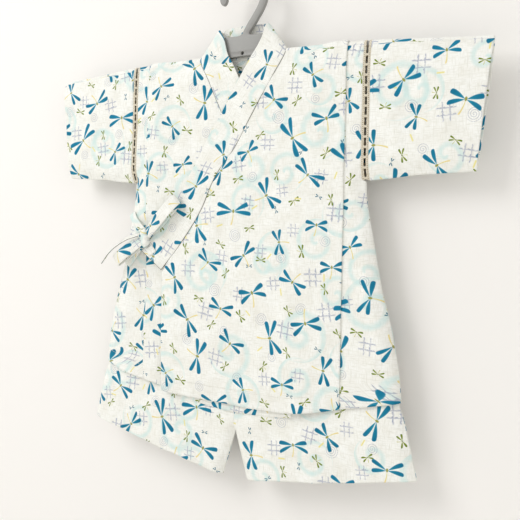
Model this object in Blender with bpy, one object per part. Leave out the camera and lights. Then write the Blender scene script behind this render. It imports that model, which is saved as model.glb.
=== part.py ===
"""A child's summer pyjama set on its hanger: a wrap-front jacket with short straight sleeves,
tied with a bow at the wearer's right side, and shorts that hang inside it and show below the hem.

Every length is in millimetres and is turned into metres when a mesh is made. The garment frame has
X from the centre line to the wearer's left, -Y to the front, and heights from the shoulder line at
the neck. The finished set is moved so that the origin is the point that the hook hangs from.
"""

import math

import bmesh
import bpy
import numpy as np
from mathutils import Matrix

for old in list(bpy.data.objects):
    bpy.data.objects.remove(old, do_unlink=True)

MM = 0.001
FRONT = -1
BACK = 1
LEFT = 1
RIGHT = -1

# Cloth and gaps
WALL = 1.0
BAND_WALL = 1.8
TIE_WALL = 1.2
GAP = 0.3
SEAM = WALL / 2 + GAP / 2

# Hanger and hook
BAR_THICK = 5.0
BAR_EDGE = 0.8
BAR_DROP = 1.25
ARM_END = 165.0
HOOK_CENTRE_Z = 65.75
HOOK_RADIUS = 27.0
HOOK_WIDE = 8.5
HANG_Z = HOOK_CENTRE_Z + HOOK_RADIUS - HOOK_WIDE / 2
HOOK_START = 186.0
HOOK_STEPS = 15
HOOK_STEP = 14.3
# x, height of the hook's neck, the bar's shoulder and the bar's lower edge
HOOK_NECK = [(22.0, 49.5), (15.5, 39.5), (9.0, 30.5), (5.0, 24.0)]
BAR_SHOULDER = [(12.0, 20.5), (27.0, 20.0), (35.0, 15.5), (43.0, 7.5), (49.0, 0.5), (53.5, -4.0)]
BAR_SHOULDER += [(60.0, -4.0)]
BAR_UNDER = [(120.0, -18.0), (80.0, -17.0), (58.0, -14.0), (40.0, -8.5), (28.0, -5.4)]
BAR_HOLE_Z = 0.2
BAR_HOLE_RADIUS = 2.0

# Jacket
NECK_X = 57.0
LACE_IN = 148.0
LACE_OUT = 156.0
UNDERARM_X = 152.0
UNDERARM_Z = -149.0
CUFF_TOP = (277.0, -12.0)
CUFF_LOW = (263.0, -141.0)
BODY_DEPTH = 7.0
SLEEVE_DEPTH = 5.0
RIDGE_RADIUS = 4.0
CUFF_RIDGE_RADIUS = 1.6
OVERLAP_LIFT = 3.5
OVER_EDGE_SWAY = 4.5
TUCK_X = 130.0
TUCK_DEPTH = 12.0
TUCK_LIFT = 2.0
TUCK_END_Z = -352.0
HEM_SIDE_Z = -376.0
NECK_PLACES = [0.0, 19.0, 38.0, 52.5]
NECK_STEP = 2.0
RIDGE_TURNS = [0, 32, 62, 90]
JACKET_LEVELS = [-12, -29, -56, -84, -110, -143, UNDERARM_Z, UNDERARM_Z - 1]
JACKET_LEVELS += [-185, -222, -255, -280, -304, -328, -352, -366, HEM_SIDE_Z]

# Lace and sleeves
LACE_RAIL = 1.7
LACE_PITCH = 10.3
LACE_GAP = 6.6
LACE_CELLS = 13
LACE_TOP_Z = -9.0
SLEEVE_LEVELS = [-15, -38, -66, -95, -118, -133, -142, UNDERARM_Z]
SLEEVE_SHARES = [0.0, 0.12, 0.26, 0.42, 0.58, 0.76, 1.0]

# Collar band
BAND_TOP_Z = 32.0
BAND_TOP_RISE = 1.5
BAND_TOP_HALF = 31.0
BAND_BACK_DIP = 3.0
BAND_STAND = 5.8
BAND_BACK_STAND = 6.3
BAND_BACK_PLACES = [51.5, 38.0, 19.0, 0.0, -19.0, -38.0, -51.5]
UNDER_BAND_LIFT = 0.3
UNDER_EDGE_SWAY = 4.0

# Shorts
WAIST_Z = -226.0
WAISTBAND_TALL = 20.0
CROTCH_Z = -437.0
SHORTS_DEPTH = 3.4
WAIST_BACK_SHIFT = 1.7
WAISTBAND_WALL = 2.0
LEG_DEPTH = [(-246, SHORTS_DEPTH), (-376, 4.0), (-420, 5.2), (-491, 6.5)]
SHORTS_LEVELS = [-246, -262, -285, -315, -345, -376, -400, -420]
LEG_STEPS = [0.25, 0.5, 0.75, 1.0]
SHORTS_SHARES = [0.0, 0.03, 0.09, 0.2, 0.32, 0.44, 0.56, 0.68, 0.8, 0.91, 0.97, 1.0]
WAISTBAND_SHARES = [-1, -0.97, -0.9, -0.5, 0, 0.5, 0.9, 0.97, 1]
GATHERS = 4
GATHER_DEEP = 0.8

# Ties and bow
TIE_WIDE = 15.0
BOW_Y = -16.0
KNOT = (-124.5, BOW_Y - 1.5, -217.0)
KNOT_SIZE = (8.0, 5.0, 9.0)
KNOT_WAIST = 0.12
# direction in the plane of the cloth, then distance from the knot and height off the cloth
UP_LOOP = (48.0, 48.0)
UP_ROUTE = [(8.9, 2.6), (26, 5.4), (45, 7.0), (60, 6.6), (66.5, 4.8)]
UP_ROUTE += [(68, 2.6), (66, 0.6), (52, -0.8), (32, -0.6), (8.9, 0.4)]
LOW_LOOP = (-49.0, -34.0)
LOW_ROUTE = [(8.7, 2.6), (20, 6.0), (34, 8.0), (46, 7.2), (52, 5.0)]
LOW_ROUTE += [(53.5, 2.8), (51.5, 0.8), (40, -0.4), (25, -0.4), (9.1, 0.4)]
LOW_TAIL = (-33.0, -35.0)
LOW_TAIL_ROUTE = [(11.0, -1.7), (28.0, -3.0), (47.0, -4.4)]
TAIL_WIDE = 10.0
# distance along the lower loop, distance above its middle, height off the cloth
SIDE_TAIL_ROUTE = [(4.7, 7.7, 3.4), (20.0, 12.5, 6.0), (38.0, 14.5, 7.0), (55.0, 13.5, 6.5)]
SIDE_TAIL_ROUTE += [(71.0, 10.0, 5.0)]
SIDE_TIE = [(-155.0, -5.0, -187.0), (-149.0, -9.6, -193.0)]
SIDE_TIE += [(-140.0, -13.4, -200.0), (-130.0, -15.8, -207.4)]
SIDE_TIE_WIDE = 9.0
OVER_TIE = [(-115.0, -14.6, -236.0), (-117.5, -15.0, -232.0), (-119.7, -15.8, -228.4)]
OVER_TIE_WIDE = 11.0

# height, half width of the jacket from the underarm to the hem
SIDE = [(-149, 152), (-170, 153), (-211, 161), (-262, 171), (-300, 182), (-344, 191), (-376, 194)]
# distance from the centre line, height of each hem
OVER_HEM = [(-99, -402.5), (-60, -404.5), (-17, -405), (18, -406), (65, -405), (105, -398)]
OVER_HEM += [(139, -389), (164, -383), (194, -376)]
UNDER_HEM = [(-194, -376), (-164, -388), (-101, -398), (-45, -411), (-9, -414.5), (47, -413)]
UNDER_HEM += [(76, -408.5)]
BACK_HEM = [(-194, -376), (-139, -391), (-65, -403), (0, -407), (65, -403), (139, -391), (194, -376)]
# seam x, seam z, free edge x, free edge z of the collar band, from its lower end up to the shoulder
OVER_BAND = [
    (-103.5, -255, -131.0, -233),
    (-75.0, -222, -105.0, -200.5),
    (-49.5, -185, -80.5, -166),
    (-28.5, -143, -61.0, -134),
    (-3.7, -110, -38.0, -94.5),
    (12.5, -84, -22.0, -69.5),
    (29.2, -56, -5.0, -41),
    (45.2, -29, 14.0, -8),
    (53.5, -12, 22.5, 6),
    (56.5, -4, 28.5, 18),
]
UNDER_BAND = [
    (78.0, -222, 107.0, -199.5),
    (60.0, -185, 88.5, -160),
    (36.0, -143, 66.0, -129),
    (13.0, -110, 44.5, -96),
    (-13.0, -84, 20.0, -67.5),
    (-28.5, -56, 5.5, -41.5),
    (-42.0, -29, -9.5, -13.5),
    (-52.0, -12, -17.8, 0.5),
    (-56.5, -4, -23.5, 20),
]
BAND_SIDE = [(55.6, -1.2, 30.0, 28.0, 0.72), (56.0, 0.0, 33.0, 31.0, 0.0)]
# height, half width of the shorts
SHORTS_SIDE = [(-226, 118), (-246, 132), (-275, 158), (-310, 176), (-345, 186), (-376, 191)]
SHORTS_SIDE += [(-396, 198), (-453, 212)]
SHORTS_HEM = [(16.5, -491), (60, -482.5), (98, -476), (140, -468), (184, -457), (212, -452)]
SHORTS_INSEAM_X = 16.5
# x, z at one end, x, z at the other end, half width, height of each soft fold in the cloth
JACKET_FOLDS = [
    (-150, -172, -104, -118, 9, 1.2),
    (148, -168, 100, -108, 10, 1.2),
    (158, -196, 166, -330, 9, 1.6),
    (-150, -238, -166, -345, 10, 1.8),
    (66, -290, 82, -400, 15, 1.6),
    (-26, -318, -44, -402, 17, 1.4),
    (10, -150, -40, -215, 14, 1.0),
]
SLEEVE_FOLDS = [(188, -134, 176, -78, 9, 1.2), (240, -132, 222, -58, 11, 1.0)]
SHORTS_FOLDS = [
    (8, -432, 74, -396, 9, 1.4),
    (96, -412, 104, -476, 13, 1.6),
    (166, -404, 184, -458, 12, 1.4),
]


def read(rows, at):
    """The value at a place along a table of two columns."""
    keys = [row[0] for row in rows]
    values = [row[1] for row in rows]
    if keys[0] > keys[-1]:
        keys.reverse()
        values.reverse()
    return float(np.interp(at, keys, values))


def ease(share):
    """Runs from 0 to 1 with level ends."""
    share = min(max(share, 0.0), 1.0)
    return share * share * (3 - 2 * share)


def ramp(share):
    """Leaves 0 at a slope, as a pressed edge does, and levels out at 1."""
    return math.sin(math.pi / 2 * min(max(share, 0.0), 1.0))


def ridge_z(x):
    return read([(NECK_X, 0), (UNDERARM_X, -2), CUFF_TOP], abs(x))


def ridge_radius(x):
    return read([(ARM_END, RIDGE_RADIUS), (CUFF_TOP[0], CUFF_RIDGE_RADIUS)], abs(x))


def sleeve_low_z(x):
    return read([(UNDERARM_X, UNDERARM_Z), (185, -146), (205, -143.5), CUFF_LOW], abs(x))


def cuff_x(z):
    return read([(CUFF_LOW[1], CUFF_LOW[0]), (CUFF_TOP[1], CUFF_TOP[0])], z)


def jacket_edge(x, z):
    """Distance from the side seam or the sleeve's lower seam."""
    if z <= UNDERARM_Z:
        return read(SIDE, z) - abs(x)
    if abs(x) >= UNDERARM_X:
        return z - sleeve_low_z(x)
    return math.hypot(UNDERARM_X - abs(x), z - UNDERARM_Z)


def jacket_depth(x, z):
    """Half the depth of the flat, hollow jacket: closed at its seams and round over the hanger."""
    full = read([(110, BODY_DEPTH), (150, SLEEVE_DEPTH + 1), (CUFF_TOP[0], SLEEVE_DEPTH)], abs(x))
    full += (BODY_DEPTH - full) * ease((UNDERARM_Z - z) / 40)
    drop = max(ridge_z(x) - z, 0.0)
    radius = ridge_radius(x)
    if drop < radius:
        top = math.sqrt(radius**2 - (radius - drop) ** 2)
    else:
        top = radius + (full - radius) * ramp((drop - radius) / 30)
    blend = read([(UNDERARM_Z, 22), (-376, 8)], z)
    return max(SEAM + (top - SEAM) * ramp(jacket_edge(x, z) / blend), GAP)


def fold_height(folds, x, z):
    """Height of the soft folds at a place: each is a low ridge that dies away at its ends."""
    height = 0.0
    for x1, z1, x2, z2, wide, tall in folds:
        run = math.hypot(x2 - x1, z2 - z1)
        along = ((x - x1) * (x2 - x1) + (z - z1) * (z2 - z1)) / run
        aside = ((x - x1) * (z2 - z1) - (z - z1) * (x2 - x1)) / run
        past = max(-along, along - run, 0.0)
        height += tall * math.exp(-((aside / wide) ** 2) - (past / (1.5 * wide)) ** 2)
    return height


def jacket_fold(x, z):
    """Soft folds over the jacket's body and sleeves, none at a seam."""
    height = fold_height(JACKET_FOLDS, x, z) + fold_height(SLEEVE_FOLDS, abs(x), z)
    return height * ramp(jacket_edge(x, z) / 16) * ease(-z / 40)


def tuck_share(z):
    """1 where the shoulder tuck is pressed and sewn, 0 where it is let out above the hem."""
    return 1 - ease((TUCK_END_Z - z) / 26)


def tuck_lift(x, z):
    """How far the cloth inside the tuck's fold edge lies over the outer strip."""
    if abs(x) > TUCK_X:
        return 0.0
    return TUCK_LIFT * tuck_share(z) * ease((abs(x) - TUCK_X + 3 * TUCK_DEPTH) / (2 * TUCK_DEPTH))


def tuck_wall(x, z):
    """(outward, inward) thickness from the middle of the cloth, three layers deep inside the tuck."""
    folded = TUCK_X - TUCK_DEPTH < abs(x) <= TUCK_X
    return WALL / 2, WALL / 2 + (tuck_lift(x, z) if folded else 0.0)


def overlap_lift(x, z):
    """How far the upper front lies off the lower one, down to nothing at the shoulder and side seam."""
    over_tuck = TUCK_LIFT * ease((-x - 55) / 35)
    return (OVERLAP_LIFT + over_tuck) * ease((-z - 2) / 40) * (1 - ease((x - 88) / 34))


def material(name, colour, roughness, metallic=0.0):
    made = bpy.data.materials.new(name)
    made.use_nodes = True
    shader = made.node_tree.nodes["Principled BSDF"]
    shader.inputs["Base Color"].default_value = (*colour, 1)
    shader.inputs["Roughness"].default_value = roughness
    shader.inputs["Metallic"].default_value = metallic
    made.diffuse_color = (*colour, 1)
    return made


def cloth(name):
    return material(name + "_cotton", (0.88, 0.88, 0.82), 0.9)


def lace(name):
    return material(name + "_lace", (0.62, 0.55, 0.42), 0.85)


def place(name, points, faces, finish):
    """Makes a closed mesh object from points in the garment frame."""
    mesh = bpy.data.meshes.new(name)
    mesh.from_pydata([(x * MM, y * MM, (z - HANG_Z) * MM) for x, y, z in points], [], faces)
    tidy = bmesh.new()
    tidy.from_mesh(mesh)
    bmesh.ops.recalc_face_normals(tidy, faces=tidy.faces)
    tidy.to_mesh(mesh)
    tidy.free()
    mesh.materials.append(finish)
    made = bpy.data.objects.new(name, mesh)
    bpy.context.scene.collection.objects.link(made)
    return made


def sheet(name, middle, walls, finish, holes=(), ghosts=(0, 0)):
    """A cloth wall about a grid of middle points. walls gives each point's outward and inward
    thickness, holes lists the cells that are cut out, and ghosts counts the rows at the start and
    the end that only set the direction of the edge."""
    middle = np.array(middle, float)
    down = np.gradient(middle, axis=0)
    across = np.gradient(middle, axis=1)
    normal = np.cross(down, across)
    normal /= np.linalg.norm(normal, axis=2, keepdims=True)
    last = len(middle) - ghosts[1]
    middle = middle[ghosts[0] : last]
    normal = normal[ghosts[0] : last]
    walls = np.array(walls, float)[ghosts[0] : last]
    sides = (middle + normal * walls[..., :1], middle - normal * walls[..., 1:])
    rows, columns = middle.shape[:2]
    points = [tuple(point) for side in sides for row in side for point in row]

    def index(side, row, column):
        return (side * rows + row) * columns + column

    kept = {(i, j) for i in range(rows - 1) for j in range(columns - 1)} - set(holes)
    faces = []
    for i, j in sorted(kept):
        corners = [(i, j), (i + 1, j), (i + 1, j + 1), (i, j + 1)]
        faces.append([index(0, *corner) for corner in corners])
        faces.append([index(1, *corner) for corner in reversed(corners)])
        beside = [(i, j - 1), (i + 1, j), (i, j + 1), (i - 1, j)]
        for side, other in enumerate(beside):
            if other not in kept:
                start, end = corners[side], corners[(side + 1) % 4]
                faces.append([index(0, *end), index(0, *start), index(1, *start), index(1, *end)])
    return place(name, points, faces, finish)


def even_walls(grid, thick):
    return [[(thick / 2, thick / 2)] * len(grid[0])] * len(grid)


def jacket_point(x, z, face, lift=0.0):
    return (x, face * (jacket_depth(x, z) + lift), z)


def over_ridge(x, face, turn):
    """A point on the round shoulder fold, turned so many degrees from the top."""
    radius = ridge_radius(x)
    swing = math.radians(abs(turn))
    side = face if turn >= 0 else -face
    raised = tuck_lift(x, ridge_z(x))
    out = max(radius * math.sin(swing), GAP) + raised * math.sin(swing)
    return (x, side * out, ridge_z(x) - radius + (radius + raised) * math.cos(swing))


def body_columns(inner, outer, count):
    """Places across half a panel: even to the tuck, a step at its fold edge, then close at the seam."""
    tuck_in = TUCK_X - TUCK_DEPTH
    share = min((outer - TUCK_X) / 22, 1.0)
    places = list(np.linspace(inner, tuck_in - 1.5, count))
    places += [tuck_in + 0.2, TUCK_X - 0.1, TUCK_X + 0.3]
    places += [outer - 13 * share, outer - 5 * share, outer]
    return places


def outer_edge(z):
    """Where the front and back end: at the lace above the underarm, at the side seam below it."""
    return LACE_IN - GAP / 2 if z > UNDERARM_Z - 0.5 else read(SIDE, z)


def panel(inner_edge, hem, count, lift, side):
    """A front of the jacket on one side of the body, from the shoulder fold to its hem."""
    grid, walls = [], []
    for turn in [-RIDGE_TURNS[1]] + RIDGE_TURNS:
        columns = body_columns(inner_edge(0.0), outer_edge(0.0), count)
        grid.append([over_ridge(x, FRONT, turn) for x in columns])
        walls.append([tuck_wall(x, 0.0) for x in columns])
    for level in JACKET_LEVELS:
        columns = body_columns(inner_edge(level), outer_edge(level), count)
        row, wall = [], []
        for x in columns:
            z = read(hem, side * x) if level == HEM_SIDE_Z else level
            raised = tuck_lift(x, z) + lift(side * x, z) + jacket_fold(side * x, z)
            row.append(jacket_point(x, z, FRONT, raised))
            wall.append(tuck_wall(x, z))
        grid.append(row)
        walls.append(wall)
    grid = [[(side * x, y, z) for x, y, z in row][::side] for row in grid]
    walls = [wall[::side] for wall in walls]
    return grid, walls


def seam_x(rows, z):
    """Where the collar seam crosses a height."""
    return read([(row[1], row[0]) for row in rows], z)


# Hanger: one flat moulded piece with round corners, arms along the shoulders and a wide round hook.
def hanger_outline():
    """The outline from the tip of the hook, round its outer side, down and along both arms."""
    centre = []
    for step in range(HOOK_STEPS):
        turn = math.radians(HOOK_START - step * HOOK_STEP)
        centre.append((HOOK_RADIUS * math.cos(turn), HOOK_CENTRE_Z + HOOK_RADIUS * math.sin(turn)))
    centre += HOOK_NECK
    left, right = [], []
    for i, (x, z) in enumerate(centre):
        before, after = centre[max(i - 1, 0)], centre[min(i + 1, len(centre) - 1)]
        along = np.array(after) - np.array(before)
        along = along / np.linalg.norm(along)
        half = HOOK_WIDE / 2
        left.append((x - along[1] * half, z + along[0] * half))
        right.append((x + along[1] * half, z - along[0] * half))
    tip = np.array(centre[0])
    back = tip - np.array(centre[1])
    back = back / np.linalg.norm(back) * HOOK_WIDE / 2
    side = np.array((back[1], -back[0]))
    nose = [tuple(tip + back * math.sin(a) + side * math.cos(a)) for a in np.radians([45, 90, 135])]
    arm = [(x, ridge_z(x) - BAR_DROP) for x in (NECK_X + 10, 95.0, 130.0, ARM_END - 9)]
    end = [(ARM_END - 3, ridge_z(ARM_END) - BAR_DROP - 2.5), (ARM_END, ridge_z(ARM_END) - 8)]
    end += [(ARM_END - 2, ridge_z(ARM_END) - 13), (ARM_END - 8, ridge_z(ARM_END) - 15)]
    half = BAR_SHOULDER + arm + end + BAR_UNDER
    mirrored = [(-x, z) for x, z in reversed(half)]
    return left + half + mirrored + right[::-1] + nose[::-1]


def link(name, shape, finish=None):
    """Turns an edited shape into an object in the scene."""
    mesh = bpy.data.meshes.new(name)
    shape.to_mesh(mesh)
    shape.free()
    if finish:
        mesh.materials.append(finish)
    made = bpy.data.objects.new(name, mesh)
    bpy.context.scene.collection.objects.link(made)
    return made


def make_hanger():
    shape = bmesh.new()
    front_y = -BAR_THICK / 2 * MM
    ring = [shape.verts.new((x * MM, front_y, (z - HANG_Z) * MM)) for x, z in hanger_outline()]
    face = shape.faces.new(ring)
    grown = bmesh.ops.extrude_face_region(shape, geom=[face])
    moved = [item for item in grown["geom"] if isinstance(item, bmesh.types.BMVert)]
    bmesh.ops.translate(shape, verts=moved, vec=(0, BAR_THICK * MM, 0))
    bmesh.ops.recalc_face_normals(shape, faces=shape.faces)
    rims = [edge for edge in shape.edges if edge.verts[0].co.y * edge.verts[1].co.y > 0]
    bmesh.ops.bevel(shape, geom=rims, offset=BAR_EDGE * MM, segments=1, profile=0.5, affect="EDGES")
    made = link("hanger", shape, material("grey_plastic", (0.34, 0.34, 0.35), 0.45))
    drill = bmesh.new()
    radius = BAR_HOLE_RADIUS * MM
    depth = 4 * BAR_THICK * MM
    bmesh.ops.create_cone(drill, cap_ends=True, segments=12, radius1=radius, radius2=radius, depth=depth)
    bmesh.ops.rotate(drill, verts=drill.verts, matrix=Matrix.Rotation(math.pi / 2, 3, "X"))
    bmesh.ops.translate(drill, verts=drill.verts, vec=(0, 0, (BAR_HOLE_Z - HANG_Z) * MM))
    cutter = link("hole_cutter", drill)
    cutter.hide_render = True
    cutter.display_type = "WIRE"
    cut = made.modifiers.new("hole", "BOOLEAN")
    cut.operation = "DIFFERENCE"
    cut.object = cutter


make_hanger()


# Jacket fronts: each runs from the shoulder fold to its hem with a pressed tuck, the left one on top.
def over_inner(z):
    """The upper front's free edge: the collar's seam, then nearly straight down to the hem."""
    if z > OVER_BAND[0][1]:
        return seam_x(OVER_BAND, z)
    seam, start = OVER_BAND[0][:2]
    return seam + OVER_EDGE_SWAY * (start - z) / (start - OVER_HEM[0][1])


def under_inner(z):
    """The lower front's free edge, measured outwards on its own side of the body."""
    if z > UNDER_BAND[0][1]:
        return -seam_x(UNDER_BAND, z)
    seam, start = UNDER_BAND[0][:2]
    return -seam - UNDER_EDGE_SWAY * (z - start) / (start - UNDER_HEM[-1][1])


def no_lift(x, z):
    return 0.0


grid, walls = panel(over_inner, OVER_HEM, 13, overlap_lift, LEFT)
sheet("jacket_front_over", grid, walls, cloth("jacket_front_over"), ghosts=(1, 0))
grid, walls = panel(under_inner, UNDER_HEM, 11, no_lift, RIGHT)
sheet("jacket_front_under", grid, walls, cloth("jacket_front_under"), ghosts=(1, 0))


# Jacket back: one piece from armhole to armhole, cut away at the neck.
def neck_dip(x):
    """How far below the shoulder line the back neck is cut."""
    return RIDGE_RADIUS + 0.4 + BAND_BACK_DIP * (1 - (x / NECK_X) ** 2)


def make_back():
    grid, walls = [], []
    for step, turn in enumerate([-RIDGE_TURNS[1]] + RIDGE_TURNS, -1):
        half = NECK_PLACES + body_columns(NECK_X, outer_edge(0.0), 3)
        row, wall = [], []
        for x in [-x for x in reversed(half[1:])] + half:
            if abs(x) < NECK_X:
                row.append(jacket_point(x, -neck_dip(x) - NECK_STEP * step, BACK))
            else:
                row.append(over_ridge(x, BACK, turn))
            wall.append(tuck_wall(x, 0.0))
        grid.append(row[::-1])
        walls.append(wall[::-1])
    for level in JACKET_LEVELS:
        half = NECK_PLACES + body_columns(NECK_X, outer_edge(level), 3)
        row, wall = [], []
        for x in [-x for x in reversed(half[1:])] + half:
            z = read(BACK_HEM, x) if level == HEM_SIDE_Z else level
            row.append(jacket_point(x, z, BACK, tuck_lift(x, z) + jacket_fold(-x, z)))
            wall.append(tuck_wall(x, z))
        grid.append(row[::-1])
        walls.append(wall[::-1])
    sheet("jacket_back", grid, walls, cloth("jacket_back"), ghosts=(1, 0))


make_back()


# Lace strips and sleeves: a ladder lace joins each straight sleeve to the body, front and back.
def lace_levels():
    """Heights down the strip below the shoulder fold: solid, gap, solid and so on."""
    low = UNDERARM_Z + 1.0
    pitch = (LACE_TOP_Z - low) / LACE_CELLS
    gap = LACE_GAP * pitch / LACE_PITCH
    levels = []
    for cell in range(LACE_CELLS):
        start = LACE_TOP_Z - cell * pitch
        levels += [start, start - gap]
    return levels + [low]


def sleeve_spot(share, z):
    """A point on a sleeve, a share of the way from the lace to the cuff, near a height."""
    x = LACE_OUT + GAP / 2 + (cuff_x(z) - LACE_OUT) * share
    low = sleeve_low_z(x)
    high = ridge_z(x) - ridge_radius(x) - 1
    level = max(min(z, high), low + (z - UNDERARM_Z) * 0.6)
    return jacket_point(x, level, FRONT, jacket_fold(x, level))


def mirrored_grid(grid, side, face):
    """Puts a grid made for the left front on any quarter of the garment, outward side out."""
    turned = [[(side * x, (1 if face == FRONT else -1) * y, z) for x, y, z in row] for row in grid]
    return turned if side * face == FRONT * LEFT else [row[::-1] for row in turned]


for side, side_name in ((LEFT, "left"), (RIGHT, "right")):
    for face, face_name in ((FRONT, "front"), (BACK, "back")):
        strip_x = [LACE_IN + GAP / 2, LACE_IN + LACE_RAIL, LACE_OUT - LACE_RAIL, LACE_OUT - GAP / 2]
        turns = [-RIDGE_TURNS[1]] + RIDGE_TURNS
        grid = [[over_ridge(x, FRONT, turn) for x in strip_x] for turn in turns]
        grid += [[jacket_point(x, z, FRONT, jacket_fold(x, z)) for x in strip_x] for z in lace_levels()]
        gaps = [(len(RIDGE_TURNS) + 2 * cell, 1) for cell in range(LACE_CELLS)]
        grid = mirrored_grid(grid, side, face)
        name = "lace_" + side_name + "_" + face_name
        sheet(name, grid, even_walls(grid, WALL), lace(name), gaps, ghosts=(1, 0))

        grid = []
        for turn in turns:
            spots = [LACE_OUT + GAP / 2 + (CUFF_TOP[0] - LACE_OUT) * share for share in SLEEVE_SHARES]
            grid.append([over_ridge(x, FRONT, turn) for x in spots])
        grid += [[sleeve_spot(share, z) for share in SLEEVE_SHARES] for z in SLEEVE_LEVELS]
        grid = mirrored_grid(grid, side, face)
        name = "sleeve_" + side_name + "_" + face_name
        sheet(name, grid, even_walls(grid, WALL), cloth(name), ghosts=(1, 0))


# Collar band: a doubled strip sewn along the neck and both front edges, standing up round the neck.
def band_section(seam, free, width_rows=3):
    """Points across the band, from just off its seam to its free edge."""
    seam, free = np.array(seam), np.array(free)
    start = seam + (free - seam) / np.linalg.norm(free - seam) * GAP * 1.3
    return [tuple(start + (free - start) * k / (width_rows - 1)) for k in range(width_rows)]


def band_front(rows, lift):
    grid = []
    for sx, sz, fx, fz in rows:
        seam = (sx, -jacket_depth(sx, sz) - lift(sx, sz) - jacket_fold(sx, sz), sz)
        free_depth = max(jacket_depth(fx, min(fz, -2 * RIDGE_RADIUS)), BAND_STAND)
        free = (fx, -free_depth - lift(sx, min(fz, sz)), fz)
        grid.append(band_section(seam, free))
    return grid


def band_side(side, face):
    """The two sections where the band turns over the shoulder."""
    grid = []
    for sx, sz, fx, fz, share in BAND_SIDE:
        y = face * max(RIDGE_RADIUS * share, GAP)
        y_free = face * max(BAND_STAND * share, GAP)
        grid.append(band_section((side * sx, y, sz), (side * fx, y_free, fz)))
    return grid


def under_band_lift(x, z):
    return UNDER_BAND_LIFT


grid = band_front(OVER_BAND, overlap_lift) + band_side(LEFT, FRONT) + band_side(LEFT, BACK)[:1]
sheet("collar_over", grid, even_walls(grid, BAND_WALL), cloth("collar_over"), ghosts=(0, 1))
grid = band_front(UNDER_BAND, under_band_lift) + band_side(RIGHT, FRONT) + band_side(RIGHT, BACK)[:1]
grid = [row[::-1] for row in grid]
sheet("collar_under", grid, even_walls(grid, BAND_WALL), cloth("collar_under"), ghosts=(0, 1))
grid = band_side(LEFT, FRONT)[:1] + band_side(LEFT, BACK)[::-1]
for x in BAND_BACK_PLACES:
    share = x / NECK_X
    z = -neck_dip(x) + GAP
    free = (share * BAND_TOP_HALF, BAND_BACK_STAND, BAND_TOP_Z + BAND_TOP_RISE * (1 - share**2))
    grid.append(band_section((x, jacket_depth(x, z), z), free))
grid += band_side(RIGHT, BACK) + band_side(RIGHT, FRONT)[:1]
sheet("collar_back", grid, even_walls(grid, BAND_WALL), cloth("collar_back"), ghosts=(1, 1))


# Ties and bow: folded cotton tapes, a knot, two loops and two tails at the wearer's right side.
def tape(name, route, across, wide):
    """A flat tape along a route of points, its width laid along a fixed direction."""
    across = np.array(across, float) / np.linalg.norm(across)
    grid = []
    for spot in route:
        spot = np.array(spot, float)
        grid.append([tuple(spot + across * wide * share) for share in (-0.5, 0.0, 0.5)])
    return sheet(name, grid, even_walls(grid, TIE_WALL), cloth(name))


def beside_knot(aim, out, height, above=0.0):
    """A point so far from the knot along a direction, at a height off the cloth, and off to one side."""
    length = math.hypot(*aim)
    ahead = (aim[0] / length, aim[1] / length)
    x = KNOT[0] + ahead[0] * out + ahead[1] * above
    z = KNOT[2] + ahead[1] * out - ahead[0] * above
    return (x, BOW_Y - height, z)


for name, aim, route, wide in (
    ("bow_loop_upper", UP_LOOP, UP_ROUTE, TIE_WIDE),
    ("bow_loop_lower", LOW_LOOP, LOW_ROUTE, TIE_WIDE),
    ("bow_tail_low", LOW_TAIL, LOW_TAIL_ROUTE, TAIL_WIDE),
):
    spots = [beside_knot(aim, out, height) for out, height in route]
    tape(name, spots, (-aim[1], 0, aim[0]), wide)
spots = [beside_knot(LOW_LOOP, out, height, above) for out, above, height in SIDE_TAIL_ROUTE]
tape("bow_tail_side", spots, (-0.28, 0.85, 0.41), TAIL_WIDE)
tape("tie_side", SIDE_TIE, (0.8, 0, 0.6), SIDE_TIE_WIDE)
tape("tie_over", OVER_TIE, (0.8, 0, 0.5), OVER_TIE_WIDE)


def make_knot():
    shape = bmesh.new()
    bmesh.ops.create_uvsphere(shape, u_segments=12, v_segments=8, radius=MM)
    for point in shape.verts:
        waist = 1 - KNOT_WAIST * (1 - (point.co.z / MM) ** 2)
        point.co.x *= KNOT_SIZE[0] * waist
        point.co.y *= KNOT_SIZE[1]
        point.co.z *= KNOT_SIZE[2]
    centre = (KNOT[0] * MM, KNOT[1] * MM, (KNOT[2] - HANG_Z) * MM)
    bmesh.ops.translate(shape, verts=shape.verts, vec=centre)
    link("bow_knot", shape, cloth("bow_knot"))


make_knot()


# Shorts: two legs, each with a front and a back, on an elastic waistband inside the jacket's back.
def waist_shift(z):
    """The waistband lies against the jacket's back, and the legs hang to the middle."""
    return WAIST_BACK_SHIFT * (1 - ease((WAIST_Z - WAISTBAND_TALL - z) / 90))


def inseam_x(z):
    return GAP / 2 + SHORTS_INSEAM_X * max(CROTCH_Z - z, 0.0) / (CROTCH_Z - SHORTS_HEM[0][1])


def shorts_depth(x, z, outer):
    """Half the depth of a leg, closed at its side seam and at its inside seam below the crotch."""
    full = read(LEG_DEPTH, z)
    inside = x - inseam_x(z) if z < CROTCH_Z else math.hypot(x, z - CROTCH_Z)
    gather = GATHER_DEEP * math.sin(2 * math.pi * GATHERS * x / outer) * (1 - ease((-246 - z) / 60))
    close = ramp((outer - x) / 12) * ramp(inside / 12)
    fold = fold_height(SHORTS_FOLDS, x, z) * ease((-390 - z) / 20)
    return SEAM + (full + gather + fold - SEAM) * close


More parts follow.
